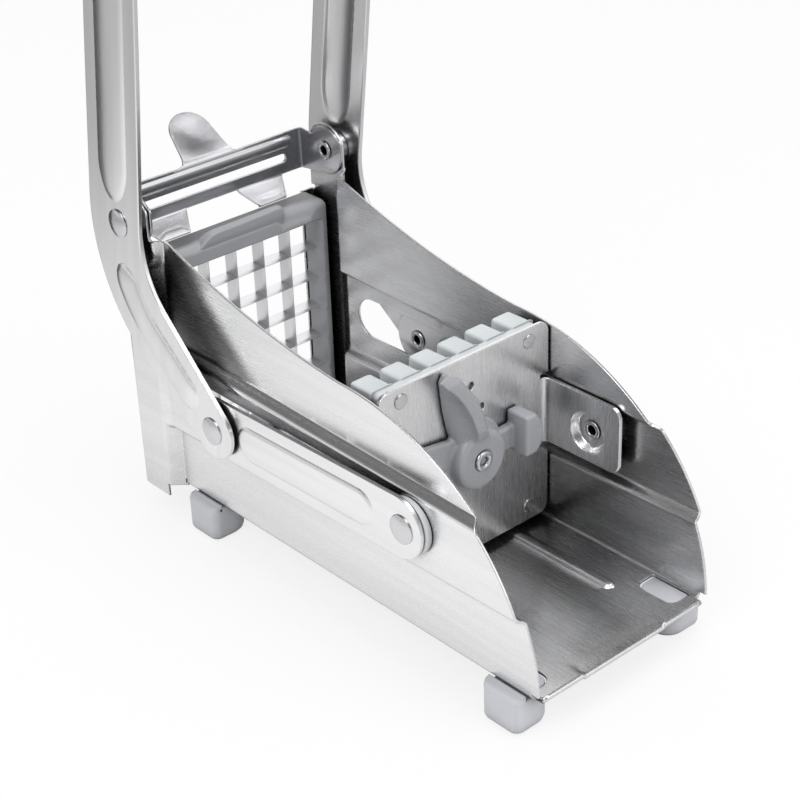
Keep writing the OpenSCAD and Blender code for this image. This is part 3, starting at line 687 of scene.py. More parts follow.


# How each finish is made, from which colour, with what roughness and grain in millimetres; then
# the turn of the grain, the painted corner shade and the streaks of a sheet, or the depth of a moulding's grain
FINISHES = {
    # brushed along the body: soft reflections stretched up and down the walls, painted shade in the corners
    "brushed_steel_body": (brushed_steel, "steel", 0.27, (30, 0.4, 0.4), 0.0, (70, 0.14, 0.65, 0.12)),
    # brushed upright and more coarsely: clear streaks down the pusher plate
    "brushed_steel_upright": (brushed_steel, "steel", 0.28, (0.4, 0.4, 20), 0.0, (40, 0.02, 0.5, 0.3), 0.05),
    # brushed along the arms and the links: smooth bright bands that the ribs bend
    "brushed_steel_arm": (brushed_steel, "steel", 0.26, (0.4, 0.4, 30), ARM_LEAN),
    "brushed_steel_link": (brushed_steel, "steel", 0.26, (30, 0.4, 0.4), -LINK_SLOPE),
    # darker strip with a tighter shine, brushed across the cutter
    "brushed_steel_strap": (brushed_steel, "strap", 0.24, (0.4, 30, 0.4), 0.0, (12, 0.02, 0.5, 0.3)),
    # nickel plate: the brightest and smoothest of the metals
    "nickel_plated_steel": (plated_steel, "rivet", 0.22),
    # blades ground across their width: pale and matt
    "ground_blade_steel": (brushed_steel, "blade", 0.36, (0.4, 8, 8), 0.0, (4, 0.0, 0.3, 0.85)),
    # ABS: smooth and softly shiny
    "moulded_abs_frame": (moulded_plastic, "cassette", 0.36, 0.35, 0.015),
    "moulded_abs_knob": (moulded_plastic, "knob", 0.27, 0.3, 0.012),
    # ABS with a coarser, duller skin for the hand
    "moulded_abs_grip": (moulded_plastic, "grip", 0.45, 0.5, 0.06),
    # polypropylene: pale and waxy
    "moulded_pp_pegs": (moulded_plastic, "pegs", 0.48, 0.5),
    # acetal: hard and slippery, a little shinier than polypropylene
    "moulded_acetal_bush": (moulded_plastic, "bush", 0.35, 0.5),
    # rubber: matt, with almost no highlight
    "moulded_rubber_foot": (moulded_plastic, "foot", 0.6, 0.4, 0.05),
}


def finish(context, key):
    """The material called key, made on its first use"""
    found = bpy.data.materials.get(key)
    if found:
        return found
    make, tone, *settings = FINISHES[key]
    return make(key, getattr(context.scene.cutter_colours, tone), *settings)


# ---- Sizes and colours that a user would change -------------------------------------------

def length(name, description, millimetres):
    """A length in the panel"""
    return FloatProperty(name=name, description=description, default=millimetres * MM,
                         min=0.0, subtype="DISTANCE", unit="LENGTH")


def colour(name, description, hex_colour):
    """A colour in the panel"""
    return FloatVectorProperty(name=name, description=description, subtype="COLOR", size=3,
                               min=0.0, max=1.0, default=linear(hex_colour))


class CutterSizes(bpy.types.PropertyGroup):
    """Sizes of the finish that the frame leaves open"""

    sheet_edge: length("Sheet edge", "Radius on the cut edges of the sheet metal", 0.3)
    bend: length("Bend", "Outer radius of the body's folds", 2.0)
    moulded_edge: length("Moulded edge", "Radius on the edges of the cassette frame", 0.7)
    peg_edge: length("Peg edge", "Radius on the pegs' edges", 0.8)
    turned_edge: length("Turned edge", "Radius on the corners of turned pieces", 0.25)
    skin: length("Skin", "Size of the cells that the knob's skin is made of", 0.4)


class CutterColours(bpy.types.PropertyGroup):
    """Colours of the finishes"""

    steel: colour("Steel", "Brushed stainless sheet", "eeeeef")
    strap: colour("Strap", "Latch, spacers and crossbar", "d2d2d5")
    rivet: colour("Rivets", "Nickel-plated rivets and screws", "d8d8da")
    blade: colour("Blades", "Ground blade steel", "eeeef0")
    cassette: colour("Cassette", "Cassette frame", "b2b3b7")
    pegs: colour("Pegs", "Block of pegs", "d9dee0")
    bush: colour("Bushes", "Bushes in the side slots", "d0d2d4")
    foot: colour("Feet", "Feet and their plugs", "c9cacf")
    knob: colour("Knob", "Lock knob", "a6a7ac")
    grip: colour("Grip", "Grip on the crossbar", "505155")


# ---- Body --------------------------------------------------------------------------------

STEP_NOTCH_X = STEP_X - 0.6
FOLD_X = STEP_X + 0.4
REAR_FOLD_X = REAR_X + 2
EAR_NOTCH_Z = LIP_TOP + 1.2


def wall_out(x, z):
    """How far the wall stands out from its own plane"""
    along = np.clip(x / STEP_X, 0, 1)
    low = BAND_LOW - BAND_DROP * along
    high = BAND_HIGH + BAND_LIFT * along
    band = BAND_OUT * ramp((z - low + LOW_CREASE) / LOW_CREASE, 0.5)
    band *= ramp((high + HIGH_CREASE / 2 - z) / HIGH_CREASE, 0.5)
    end = CHANNEL_X + (EAR_X - CHANNEL_X) * ramp((z - 84) / 8)
    step = ramp((STEP_X - x) / (STEP_X - end), 0.2)
    return band + (CHANNEL_OUT - band) * step


def lip_dip(x, y):
    """The middle of the front lip hangs a little lower"""
    return -0.6 * ramp((18.6 - np.abs(y)) / 1.2) * ramp((x + HEM_L + 2) / HEM_L)


def shell_half(bend):
    """The right half of the folded sheet: u runs along the body, v down the wall, round the
    fold and across the floor"""
    floor_v = bend - QUARTER_L
    floor_y = WALL_Y + SHEET - bend
    inner = bend - SHEET

    def surface(u, v):
        """The sheet's inner face"""
        # the wall, pressed
        x = u.copy()
        y = WALL_Y + wall_out(np.maximum(u, REAR_X), v)
        z = v.copy()
        # the floor, folded in from it
        folded = (u > STEP_NOTCH_X + 0.5) & (v < bend)
        a = np.clip((bend - v) / QUARTER_L, 0, 1) * math.pi / 2
        across = floor_y - np.maximum(floor_v - v, 0)
        flat_share = v < floor_v
        bead = offset_to_run(u, across, (BEAD_ENDS[0], BEAD_Y), (BEAD_ENDS[1], BEAD_Y))
        lift = BEAD_H * rib_section(bead, BEAD_R + 0.5, 0.6, 1.0) + lip_dip(u, across)
        y = np.where(folded, np.where(flat_share, across, floor_y + inner * np.cos(a)), y)
        z = np.where(folded, bend - inner * np.sin(a) + np.where(flat_share, lift, 0), z)
        # the channel's rear flange
        wrapped = (u < REAR_FOLD_X) & (v < EAR_NOTCH_Z - 0.6)
        a = np.clip((REAR_FOLD_X - u) / QUARTER_L, 0, 1) * math.pi / 2
        x = np.where(wrapped, REAR_FOLD_X - inner * np.sin(a), x)
        past = np.maximum(REAR_FOLD_X - QUARTER_L - u, 0)
        y = np.where(wrapped, CHANNEL_Y + SHEET - bend + inner * np.cos(a) - past, y)
        return np.stack([x, y, z], 1)

    # round the flat sheet from the front: top edge, ear, rear edge and the cut at the step
    middle_v = floor_v - floor_y
    top = [(-CURVE_L * (1 - math.cos(a)), WALL_H * math.sin(a))
           for a in np.radians(np.linspace(2, 90, 45))]
    rise_l = -CURVE_L - STEP_X
    top += [(-CURVE_L - rise_l * s, WALL_H + WALL_RISE * (0.35 * s + 0.65 * s * s))
            for s in np.linspace(0, 1, 30)[1:-1]]
    ear_mid = (REAR_X + EAR_R, PIVOT[1])
    ear = [(EAR_X + 0.9, 94.6), (EAR_X + 0.25, 95.2), (EAR_X, 96.4), (EAR_X, 104.6),
           (EAR_X - 0.3, 105.5), (EAR_X - 1, 106.2)] + arc(ear_mid, EAR_R, 56, 180, 20)
    lip_u = REAR_FOLD_X - QUARTER_L - (CHANNEL_Y + SHEET - bend - LIP_Y)
    rear = [(REAR_X, EAR_NOTCH_Z), (REAR_FOLD_X, EAR_NOTCH_Z), (REAR_FOLD_X, LIP_TOP), (lip_u, LIP_TOP),
            (lip_u, -CHANNEL_DROP), (CHANNEL_X, -CHANNEL_DROP), (CHANNEL_X, 0), (STEP_NOTCH_X, 0),
            (STEP_NOTCH_X, bend + 0.8), (FOLD_X, bend + 0.8), (FOLD_X, floor_v)]
    front = [(-1, middle_v), (-1, floor_v - 0.6), (-2.6, floor_v - 0.6), (-2.6, bend + 0.4),
             (-0.02, bend + 0.4)]
    outline = front + top + ear + rear + [(FOLD_X, middle_v)]
    holes = [round_slot((SLOT_REAR_X, PIN[1]), PIN, SLOT_R), rivet_hole(PIVOT)]
    for gap in FOOT_GAPS.values():
        near, far = floor_v - 0.3, floor_v - 9
        corners = [(-gap, near), (-gap, far), (-gap - FOOT_L, far), (-gap - FOOT_L, near)]
        holes.append(round_corners(corners, (0.6, 4, 4, 0.6)))

    def is_open(middles):
        """Sides on the middle plane, at the hem and where the rear floor carries on"""
        u, v = middles.T
        seam = (np.abs(v - middle_v) < SAME) | (np.abs(u + 1) < SAME)
        return seam | ((np.abs(u - FOLD_X) < SAME) & (v < floor_v))

    return surface, outline, holes, is_open


def hem(bend):
    """The front edge of the floor, folded round and under itself"""
    nose = [(-1 + math.sin(a), math.cos(a)) for a in np.radians(np.linspace(0, 180, 15))]
    under = [(-HEM_L + 0.5, -1), (-HEM_L + 0.1, -0.85), (-HEM_L, -0.5), (-HEM_L + 0.1, -0.15),
             (-HEM_L + 0.5, -0.02), (-1, -0.02)]
    edge_y = WALL_Y + SHEET - bend - 0.6
    # sections all along, closer together where the lip starts to dip
    runs = ((-edge_y, edge_y, 30), (17.2, 18.8, 9), (-18.8, -17.2, 9))
    rings = []
    for y in sorted({y for run in runs for y in np.linspace(*run).round(3)}):
        dip = float(lip_dip(np.array([0.0]), np.array([y]))[0])
        rings.append([(x, y, z + dip) for x, z in nose + under])
    return lofted(rings)


class CUTTER_OT_body(bpy.types.Operator):
    """Folds the body from one sheet: floor with its beads and hem, walls with their pressed
    bands and slots, and the channel with its ears at the rear"""
    bl_idname = "cutter.body"
    bl_label = "Body shell"

    def execute(self, context):
        bend, edge = chosen(context, "bend"), chosen(context, "sheet_edge")
        surface, outline, holes, is_open = shell_half(bend)
        half = [pressed_sheet(surface, outline, holes, SHEET, edge, fine=0.5, coarse=10, is_open=is_open)]
        # between the flanges the floor runs back flat, out to the walls' own planes
        floor_y = WALL_Y + SHEET - bend

        def rear_floor(u, v):
            """Upper face of the flat floor"""
            return np.stack([u, v, np.full(len(u), SHEET)], 1)

        side_y = WALL_Y + 1
        corners = [(REAR_X, -side_y), (FOLD_X, -side_y), (FOLD_X, -floor_y), (FOLD_X, floor_y),
                   (FOLD_X, side_y), (REAR_X, side_y)]

        def meets_floor(middles):
            """Sides where the front floor carries on"""
            return (np.abs(middles[:, 0] - FOLD_X) < SAME) & (np.abs(middles[:, 1]) < floor_y)

        rear = pressed_sheet(rear_floor, corners, (), SHEET, edge, side=4.0, fine=2.0, coarse=4,
                             is_open=meets_floor)
        piece("body_shell_sheet", half + mirrored(half) + [rear, hem(bend)], "body", "brushed_stainless",
              finish(context, "brushed_steel_body"), ["body_shell"])
        return {"FINISHED"}


def foot_parts(low, high, gap):
    """A foot between its lowest and highest corners, gap behind the front lip"""
    rear, front = -gap - FOOT_L, -gap
    inner, outer = low[1], high[1]
    bottom = low[2]
    wall = WALL_Y + SHEET + PLAY
    corner_r, inner_r = 3.0, 6.8
    plan = round_corners([(rear, outer), (rear, inner), (front, inner), (front, outer)],
                         (corner_r, inner_r, inner_r, corner_r), 8)
    # the front feet stop below the hem; each height with how far its ring is drawn in
    top = -SHEET - PLAY if gap < HEM_L else -PLAY
    pulls = ((bottom, 2.0), (bottom + 0.5, 1.0), (bottom + 1.2, 0.35), (bottom + 2.2, 0), (top - 0.6, 0),
             (top, 0.6))
    middle = np.array([(rear + front) / 2, (outer + inner) / 2])
    body = stacked(plan, middle, [(z, 1 - pull / (FOOT_L / 2)) for z, pull in pulls])
    # the collar's top slopes down to the outside: heights, and how far out it reaches there
    collar_rings = []
    for z, edge_y in ((-1.6, outer), (-0.9, outer - 0.1), (-0.3, outer - 0.45), (0.2, outer - 1.1),
                      (high[2] - 0.5, wall + 1.2), (high[2] - 0.1, wall + 0.7), (high[2], wall + 0.3)):
        round_r = min(corner_r, 0.7 * (edge_y - wall))
        ring = round_corners([(rear, edge_y), (rear, wall), (front, wall), (front, edge_y)],
                             (round_r, 0, 0, round_r), 6)
        collar_rings.append([(x, y, z) for x, y in ring])
    # the plug, a little smaller than the floor's opening
    plug_out = WALL_Y + SHEET - 2.6
    plug_in = plug_out - 8.0
    plug = round_corners([(rear + 0.4, plug_out), (rear + 0.4, plug_in), (front - 0.4, plug_in),
                          (front - 0.4, plug_out)], (0.5, 3.6, 3.6, 0.5))
    plug_rows = ((-1.2, 1), (0.25, 1), (0.55, 0.96))
    return [body, lofted(collar_rings), stacked(plug, np.mean(plug, 0), plug_rows)]


class CUTTER_OT_feet(bpy.types.Operator):
    """Moulds the four feet: a block that is flat outside and round inside, a collar with a
    sloping top beside the wall, and a plug in the floor's opening"""
    bl_idname = "cutter.feet"
    bl_label = "Feet"

    def execute(self, context):
        for end, gap in FOOT_GAPS.items():
            low, high = node_box(f"foot_{end}_right")
            both_sides(f"foot_{end}", "moulded", foot_parts(low, high, gap), "foot_rubber",
                       finish(context, "moulded_rubber_foot"), 50)
        return {"FINISHED"}


# ---- Cassette and blades -----------------------------------------------------------------

class CUTTER_OT_cassette(bpy.types.Operator):
    """Moulds the cassette frame, with a rounded front on its top bar and a thumb ridge that
    rises slowly on one side and ends in a scoop on the other"""
    bl_idname = "cutter.cassette"
    bl_label = "Cassette frame"

    def execute(self, context):
        edge = chosen(context, "moulded_edge")
        low, high = FRAME
        rear_x, front_x = low[0], low[0] + 10.4
        top = LIP_TOP
        half = CELLS * PITCH / 2
        grid = 40.0
        roll_h, roll_l = 3.4, 4.6

        def front(u, v):
            """Front of the frame, rolled off at the top and scooped beside the ridge"""
            rolled = np.clip((v - (top - roll_h)) / roll_h, 0, 1)
            scoop = 1.6 * rib_section(np.hypot((u - 25) / 9, (v - top + 2) / 5), 1, 1)
            return np.stack([front_x - roll_l * (1 - np.sqrt(1 - 0.94 * rolled ** 2)) - scoop, u, v], 1)

        def rear(u, v):
            """Plain rear of the frame"""
            return np.stack([np.full(len(u), rear_x), u, v], 1)

        outline = round_corners([(low[1], low[2]), (high[1], low[2]), (high[1], top), (low[1], top)],
                                (0.8, 0.8, 3.0, 3.0))
        # small scallops down the rails, between the blades' seats
        scallop, seat = 0.5, 1.2
        hole = []
        for turn in (1, -1):
            rail = []
            for i in range(CELLS):
                cell = i * PITCH - half
                rail += [(half, cell), (half + scallop, cell + seat), (half + scallop, cell + PITCH - seat)]
            rail += [(half - i * PITCH, half) for i in range(CELLS)]
            hole += [(turn * u, grid + turn * v) for u, v in rail]
        rim = pressed_sheet(front, outline, [hole], edge=edge, side=2.0, fine=1.0, coarse=6, back=rear)
        # the ridge from its low end to its high one, then its foot inside the frame
        ridge_top = [(-18.5, top - 2.6), (-16.5, top - 1.2), (-14.6, top + 0.7), (-12.4, top + 2.0),
                     (-9.5, top + 2.4), (0, top + 2.5), (12, top + 2.85), (17.2, high[2]),
                     (18.9, high[2] - 0.3), (19.8, top + 1.2), (20.2, top - 1.2)]
        ridge = ridge_top[::-1] + [(-18.5, top - 5), (20.2, top - 5)]

        def ridge_front(u, v):
            """The ridge's front, which leans forward as it rises"""
            lean = 0.9 * ramp((v - top + 4.8) / 5) - 0.55
            return np.stack([front_x + lean, u, v], 1)

        def ridge_rear(u, v):
            """The ridge's rear, which slopes forward to its crest"""
            return np.stack([front_x - 4.4 + 1.4 * np.clip((v - top) / 3, 0, 1), u, v], 1)

        thumb = pressed_sheet(ridge_front, ridge, edge=1.0, fine=0.8, coarse=4, back=ridge_rear)
        piece("cassette_frame_moulded", [rim, thumb], "body", "frame_plastic",
              finish(context, "moulded_abs_frame"), ["cassette_frame"], 50)
        return {"FINISHED"}


class CUTTER_OT_blades(bpy.types.Operator):
    """Gives the ground blades of the frame their steel"""
    bl_idname = "cutter.blades"
    bl_label = "Blades"

    def execute(self, context):
        for node in ("vertical_blades", "horizontal_blades"):
            for place in frame["nodes"][node].material_slots:
                place.material = finish(context, "ground_blade_steel")
        return {"FINISHED"}


# ---- Handle ------------------------------------------------------------------------------

UP = np.array([math.sin(ARM_LEAN), math.cos(ARM_LEAN)])
DOWN = np.array([math.sin(LOWER_TURN), -math.cos(LOWER_TURN)])
ARM_ROOT = PIVOT - (ARM_BACK, 0)
ARM_RIB_H = 1.35
ARM_RIB_CROWN = 0.75
STRAIGHT_STEPS = 12
KNEE_STEPS = 24
LOWER_RIB_START = 25  # the point of the middle line at which the short rib starts


def arm_middle():
    """The arm's middle line from the crossbar to the elbow, and half its width along it"""
    # the knee is where the lines up from the root and down to the elbow cross
    d = ELBOW - ARM_ROOT
    s = (d[1] * DOWN[0] - d[0] * DOWN[1]) / (DOWN[0] * UP[1] - DOWN[1] * UP[0])
    knee = ARM_ROOT + s * UP
    bend = LOWER_TURN + ARM_LEAN
    start = knee + ARM_BEND_R * math.tan(bend / 2) * UP
    centre = start + ARM_BEND_R * np.array([UP[1], -UP[0]])
    line = [BAR_END + s * (start - BAR_END) for s in np.linspace(0, 1, STRAIGHT_STEPS)]
    turns = np.linspace(0, 1, KNEE_STEPS + 1)[1:]
    angles = math.pi - ARM_LEAN + turns * bend
    line += [centre + ARM_BEND_R * np.array([math.cos(a), math.sin(a)]) for a in angles]
    last = line[-1]
    quarters = (0.25, 0.5, 0.75, 1)
    line += [last + s * (ELBOW - last) for s in quarters]
    line = np.array(line)
    top, root, tip = ARM_WIDTHS
    widths = [top + (root - top) * ramp(s / 0.85, 0.3) for s in np.linspace(0, 1, STRAIGHT_STEPS)]
    below = root - 2.6
    widths += [root + (below - root) * s for s in turns]
    widths += [below + (tip - below) * s for s in quarters]
    return line, np.array(widths) / 2


def arm_outline():
    """Outline of an arm: down one side, round the elbow, up the other and round the top"""
    line, half = arm_middle()
    headings = np.gradient(line, axis=0)
    headings /= np.hypot(*headings.T)[:, None]
    across = np.stack([headings[:, 1], -headings[:, 0]], 1)
    first = line + across * half[:, None]
    second = line - across * half[:, None]
    low = math.degrees(math.atan2(*across[-1][::-1]))
    top = math.degrees(math.atan2(*across[0][::-1]))
    cap = arc(line[-1], half[-1], low, low + 180)[1:-1]
    crown = arc(line[0], half[0], top + 180, top + 360)[1:-1]
    return [tuple(p) for p in first] + cap + [tuple(p) for p in second[::-1]] + crown


def arm_rib(x, z):
    """Height of the long rib above the pivot and of the short one below it"""
    upper = offset_to_run(x, z, ARM_ROOT + 22 * UP, BAR_END - 26 * UP, 1.9)
    line, _ = arm_middle()
    line = line[LOWER_RIB_START:-2]
    end = ELBOW - 17 * DOWN
    line = np.array([p for p in line if (p - end) @ DOWN < 0] + [end])
    lower = np.full(len(x), np.inf)
    for start, stop in zip(line, line[1:]):
        lower = np.minimum(lower, offset_to_run(x, z, start, stop, 1.3))
    return ARM_RIB_H * np.maximum(rib_section(upper, 7.6, ARM_RIB_CROWN),
                                  rib_section(lower, 5.8, ARM_RIB_CROWN))


class CUTTER_OT_arms(bpy.types.Operator):
    """Presses the two arms of the handle, each with a long rib above the pivot and a short one
    below it"""
    bl_idname = "cutter.arms"
    bl_label = "Handle arms"

    def execute(self, context):
        def surface(u, v):
            """The arm's inner face"""
            return np.stack([u, ARM_Y + arm_rib(u, v), v], 1)

        holes = [rivet_hole(place) for place in (PIVOT, ELBOW, BAR_END)]
        edge = chosen(context, "sheet_edge")
        arm = [pressed_sheet(surface, arm_outline(), holes, ARM_T, edge * 1.5, side=1.5, fine=0.5, coarse=10)]
        both_sides("handle_arm", "pressed", arm, "brushed_stainless", finish(context, "brushed_steel_arm"))
        return {"FINISHED"}


class CUTTER_OT_grip(bpy.types.Operator):
    """Turns the crossbar and moulds the grip on it, with shallow rings for the fingers"""
    bl_idname = "cutter.grip"
    bl_label = "Crossbar and grip"

    def execute(self, context):
        edge = chosen(context, "turned_edge")
        low, high = node_box("handle_crossbar")
        radius = (high[2] - low[2]) / 2
        bore = radius - 1.6
        place = (BAR_END[0], 0, BAR_END[1])
        tube = softened([(radius, low[1]), (radius, high[1]), (bore, high[1]), (bore, low[1])], edge)
        piece("handle_crossbar_turned", [turned(tube, place)], "handle", "brushed_stainless",
              finish(context, "brushed_steel_strap"), ["handle_crossbar"])
        low, high = node_box("handle_grip")
        outer = (high[2] - low[2]) / 2
        end_r = 3.0
        run = high[1] - low[1] - 2 * end_r
        waist, rings, ring_h = 1.2, 20, 0.35
        shape = [(radius + 0.05, low[1]), (outer - end_r, low[1])]
        shape += [(outer - end_r + end_r * math.sin(a), low[1] + end_r - end_r * math.cos(a))
                  for a in np.radians([30, 60, 90])]
        for s in np.linspace(0, 1, 6 * rings + 1)[1:-1]:
            # the rings fade out towards both ends
            ring = ring_h * (0.5 - 0.5 * math.cos(2 * math.pi * s * rings)) * min(1, 8 * s, 8 * (1 - s))
            shape.append((outer - waist * math.sin(math.pi * s) - ring, low[1] + end_r + run * s))
        shape += [(outer - end_r + end_r * math.cos(a), high[1] - end_r + end_r * math.sin(a))
                  for a in np.radians([0, 30, 60, 90])]
        shape.append((radius + 0.05, high[1]))
        piece("handle_grip_moulded", [turned(shape, place)], "handle", "grip_plastic",
              finish(context, "moulded_abs_grip"), ["handle_grip"])
        return {"FINISHED"}


# ---- Links -------------------------------------------------------------------------------

class CUTTER_OT_links(bpy.types.Operator):
    """Presses the two links, each with a round-ended rib between its rivets"""
    bl_idname = "cutter.links"
    bl_label = "Links"

    def execute(self, context):
        run = PIN - ELBOW
        reach = np.hypot(*run)
        along = run / reach
        across = np.array([-along[1], along[0]])
        half = 10.8
        rib_h, rib_half, rib_ends = 0.9, 6.4, ((17.5, 0), (reach - 19.5, 0))

        def surface(u, v):
            """The link's inner face, u along the link and v across it"""
            rib = rib_h * rib_section(offset_to_run(u, v, *rib_ends, 1.1), rib_half, 0.25, 1.8)
            x = ELBOW[0] + u * along[0] + v * across[0]
            z = ELBOW[1] + u * along[1] + v * across[1]
            return np.stack([x, LINK_Y + rib, z], 1)

        outline = round_slot((0, 0), (reach - 2.2, 0), half, 24)
        holes = [rivet_hole((0, 0)), rivet_hole((reach, 0))]
        edge = chosen(context, "sheet_edge")
        link = [pressed_sheet(surface, outline, holes, LINK_T, edge * 1.3, side=1.2)]
        both_sides("link", "pressed", link, "brushed_stainless", finish(context, "brushed_steel_link"))
        return {"FINISHED"}


# ---- Pusher ------------------------------------------------------------------------------

PLATE_T = 1.5
PLATE_X = BLOCK[1][0] + PLATE_T
HUB = np.array([0.0, joint_place("knob_turn")[1]])


class CUTTER_OT_pusher(bpy.types.Operator):
    """Presses the pusher plate with its round corners, two click holes and two dished ears
    folded forward"""
    bl_idname = "cutter.pusher"
    bl_label = "Pusher plate"

    def execute(self, context):
        low, high = PLATE
        half = 36.5
        # where the ears fold, the sheet in a fold and its inner radius
        fold, fold_l, inner = 33.0, 4.3, 2.0
        ear_low, ear_high = PIN[1] - 10.4, PIN[1] + 13.6
        dish, dish_r, dish_side = 2.9, 7.6, 2.0
        tip = fold + fold_l + high[0] - (PLATE_X + inner)
        pin_u = fold + fold_l + PIN[0] - (PLATE_X + inner)

        def surface(u, v):
            """The plate's front, which runs on along the inner faces of the ears"""
            side = np.sign(u)
            reach = np.abs(u)
            in_ear = (v > ear_low - 0.6) & (v < ear_high + 0.6) & (reach > fold)
            a = np.clip((reach - fold) / fold_l, 0, 1) * math.pi / 2
            past = np.maximum(reach - fold - fold_l, 0)
            sunk = dish * ramp((dish_r - np.hypot(reach - pin_u, v - PIN[1])) / dish_side)
            x = np.where(in_ear, PLATE_X + inner * (1 - np.cos(a)) + past, PLATE_X)
            y = np.where(in_ear, fold + inner * np.sin(a) + np.where(past > 0, sunk, 0), reach)
            return np.stack([x, y * side, v], 1)

        cut, relief = fold - 0.2, 1.2
        right = [(half, low[2]), (half, ear_low - relief), (cut, ear_low - relief), (cut, ear_low),
                 (tip, ear_low), (tip, ear_high), (cut, ear_high), (cut, ear_high + relief),
                 (half, ear_high + relief), (half, high[2])]
        radii = (4, 0.4, 0, 0, 4, 4, 0, 0, 0.4, 4)
        outline = round_corners(right + [(-u, v) for u, v in right[::-1]], radii + radii[::-1])
        hub_r, click_r = 2.6, 1.3
        holes = [arc(HUB, hub_r, 0, 345, 23)]
        holes += [arc(HUB + place, click_r, 0, 345, 23) for place in ((1.8, 23.3), (6.2, 14.2))]
        holes += [rivet_hole((side * pin_u, PIN[1])) for side in (1, -1)]
        edge = chosen(context, "sheet_edge")
        plate = pressed_sheet(surface, outline, holes, PLATE_T, edge * 1.2)
        piece("pusher_plate_pressed", [plate], "pusher", "brushed_stainless",
              finish(context, "brushed_steel_upright"), ["pusher_plate"])
        return {"FINISHED"}


class CUTTER_OT_pegs(bpy.types.Operator):
    """Moulds the block of pegs that push the chips through the blades: thirty-six square pegs
    with soft edges on a plain backing"""
    bl_idname = "cutter.pegs"
    bl_label = "Peg block"

    def execute(self, context):
        edge = chosen(context, "peg_edge")
        low, high = BLOCK
        tip_x, front_x = low[0], high[0]
        rear_x = tip_x + 10
        half = high[1]
        grid = (low[2] + high[2]) / 2
        peg = 8.4
        middle = np.array([0, grid])
        parts = [stacked(round_corners(square(middle, half), (2,) * 4), middle,
                         ((rear_x, 0.994), (rear_x + 0.3, 1), (front_x, 1)), False)]
        # a peg from its tip: places along it, and how far its sides are drawn in there
        pulls = ((tip_x, edge), (tip_x + 0.3 * edge, 0.3 * edge), (tip_x + edge, 0.05),
                 (rear_x - 0.6, 0), (rear_x - 0.1, -0.35), (rear_x + 0.5, -0.5))
        rows = [(x, 1 - 2 * pull / peg) for x, pull in pulls]
        places = (np.arange(CELLS) - (CELLS - 1) / 2) * PITCH
        for middle in [np.array([y, grid + z]) for y in places for z in places]:
            plan = round_corners(square(middle, peg / 2), (1.1,) * 4, 4)
            parts.append(stacked(plan, middle, rows, False))
        piece("peg_block_moulded", parts, "pusher", "peg_plastic",
              finish(context, "moulded_pp_pegs"), ["peg_block"], 50)
        return {"FINISHED"}


# ---- Rivets, bushes and spacers ----------------------------------------------------------

def domed(y0, radius=HEAD_D / 2, height=HEAD_H):
    """Profile of a domed head that stands on the face at y0, from its rim to its crown"""
    rim, foot = 0.35, 0.25
    dome = [(radius * s, y0 + rim + (height - rim) * (1 - s * s))
            for s in (0.98, 0.92, 0.82, 0.7, 0.55, 0.4, 0.2)]
    return [(radius, y0), (radius, y0 + foot)] + dome + [(AXIS_R, y0 + height)]


def rolled_tail(y0):
    """Profile of a hollow end rolled outwards, from inside its bore to its shank"""
    bore = SHANK_D / 2 - 1.3
    tube, roll_h = (TAIL_D / 2 - bore) / 2, 0.55
    ring = [(bore + tube - tube * math.cos(a), y0 + roll_h - roll_h * math.sin(a))
            for a in np.radians(range(0, 181, 20))]
    return [(AXIS_R, y0 + BORE_L), (bore, y0 + BORE_L)] + ring + [(SHANK_D / 2, y0 + 0.8)]


def sleeve(y0, y1, outer, inner, edge):
    """Profile of a plain ring with softened corners"""
    return softened([(outer, y0), (outer, y1), (inner, y1), (inner, y0)], edge)


def span(node):
    """Lowest and highest Y of a CAD node"""
    low, high = node_box(node)
    return low[1], high[1]


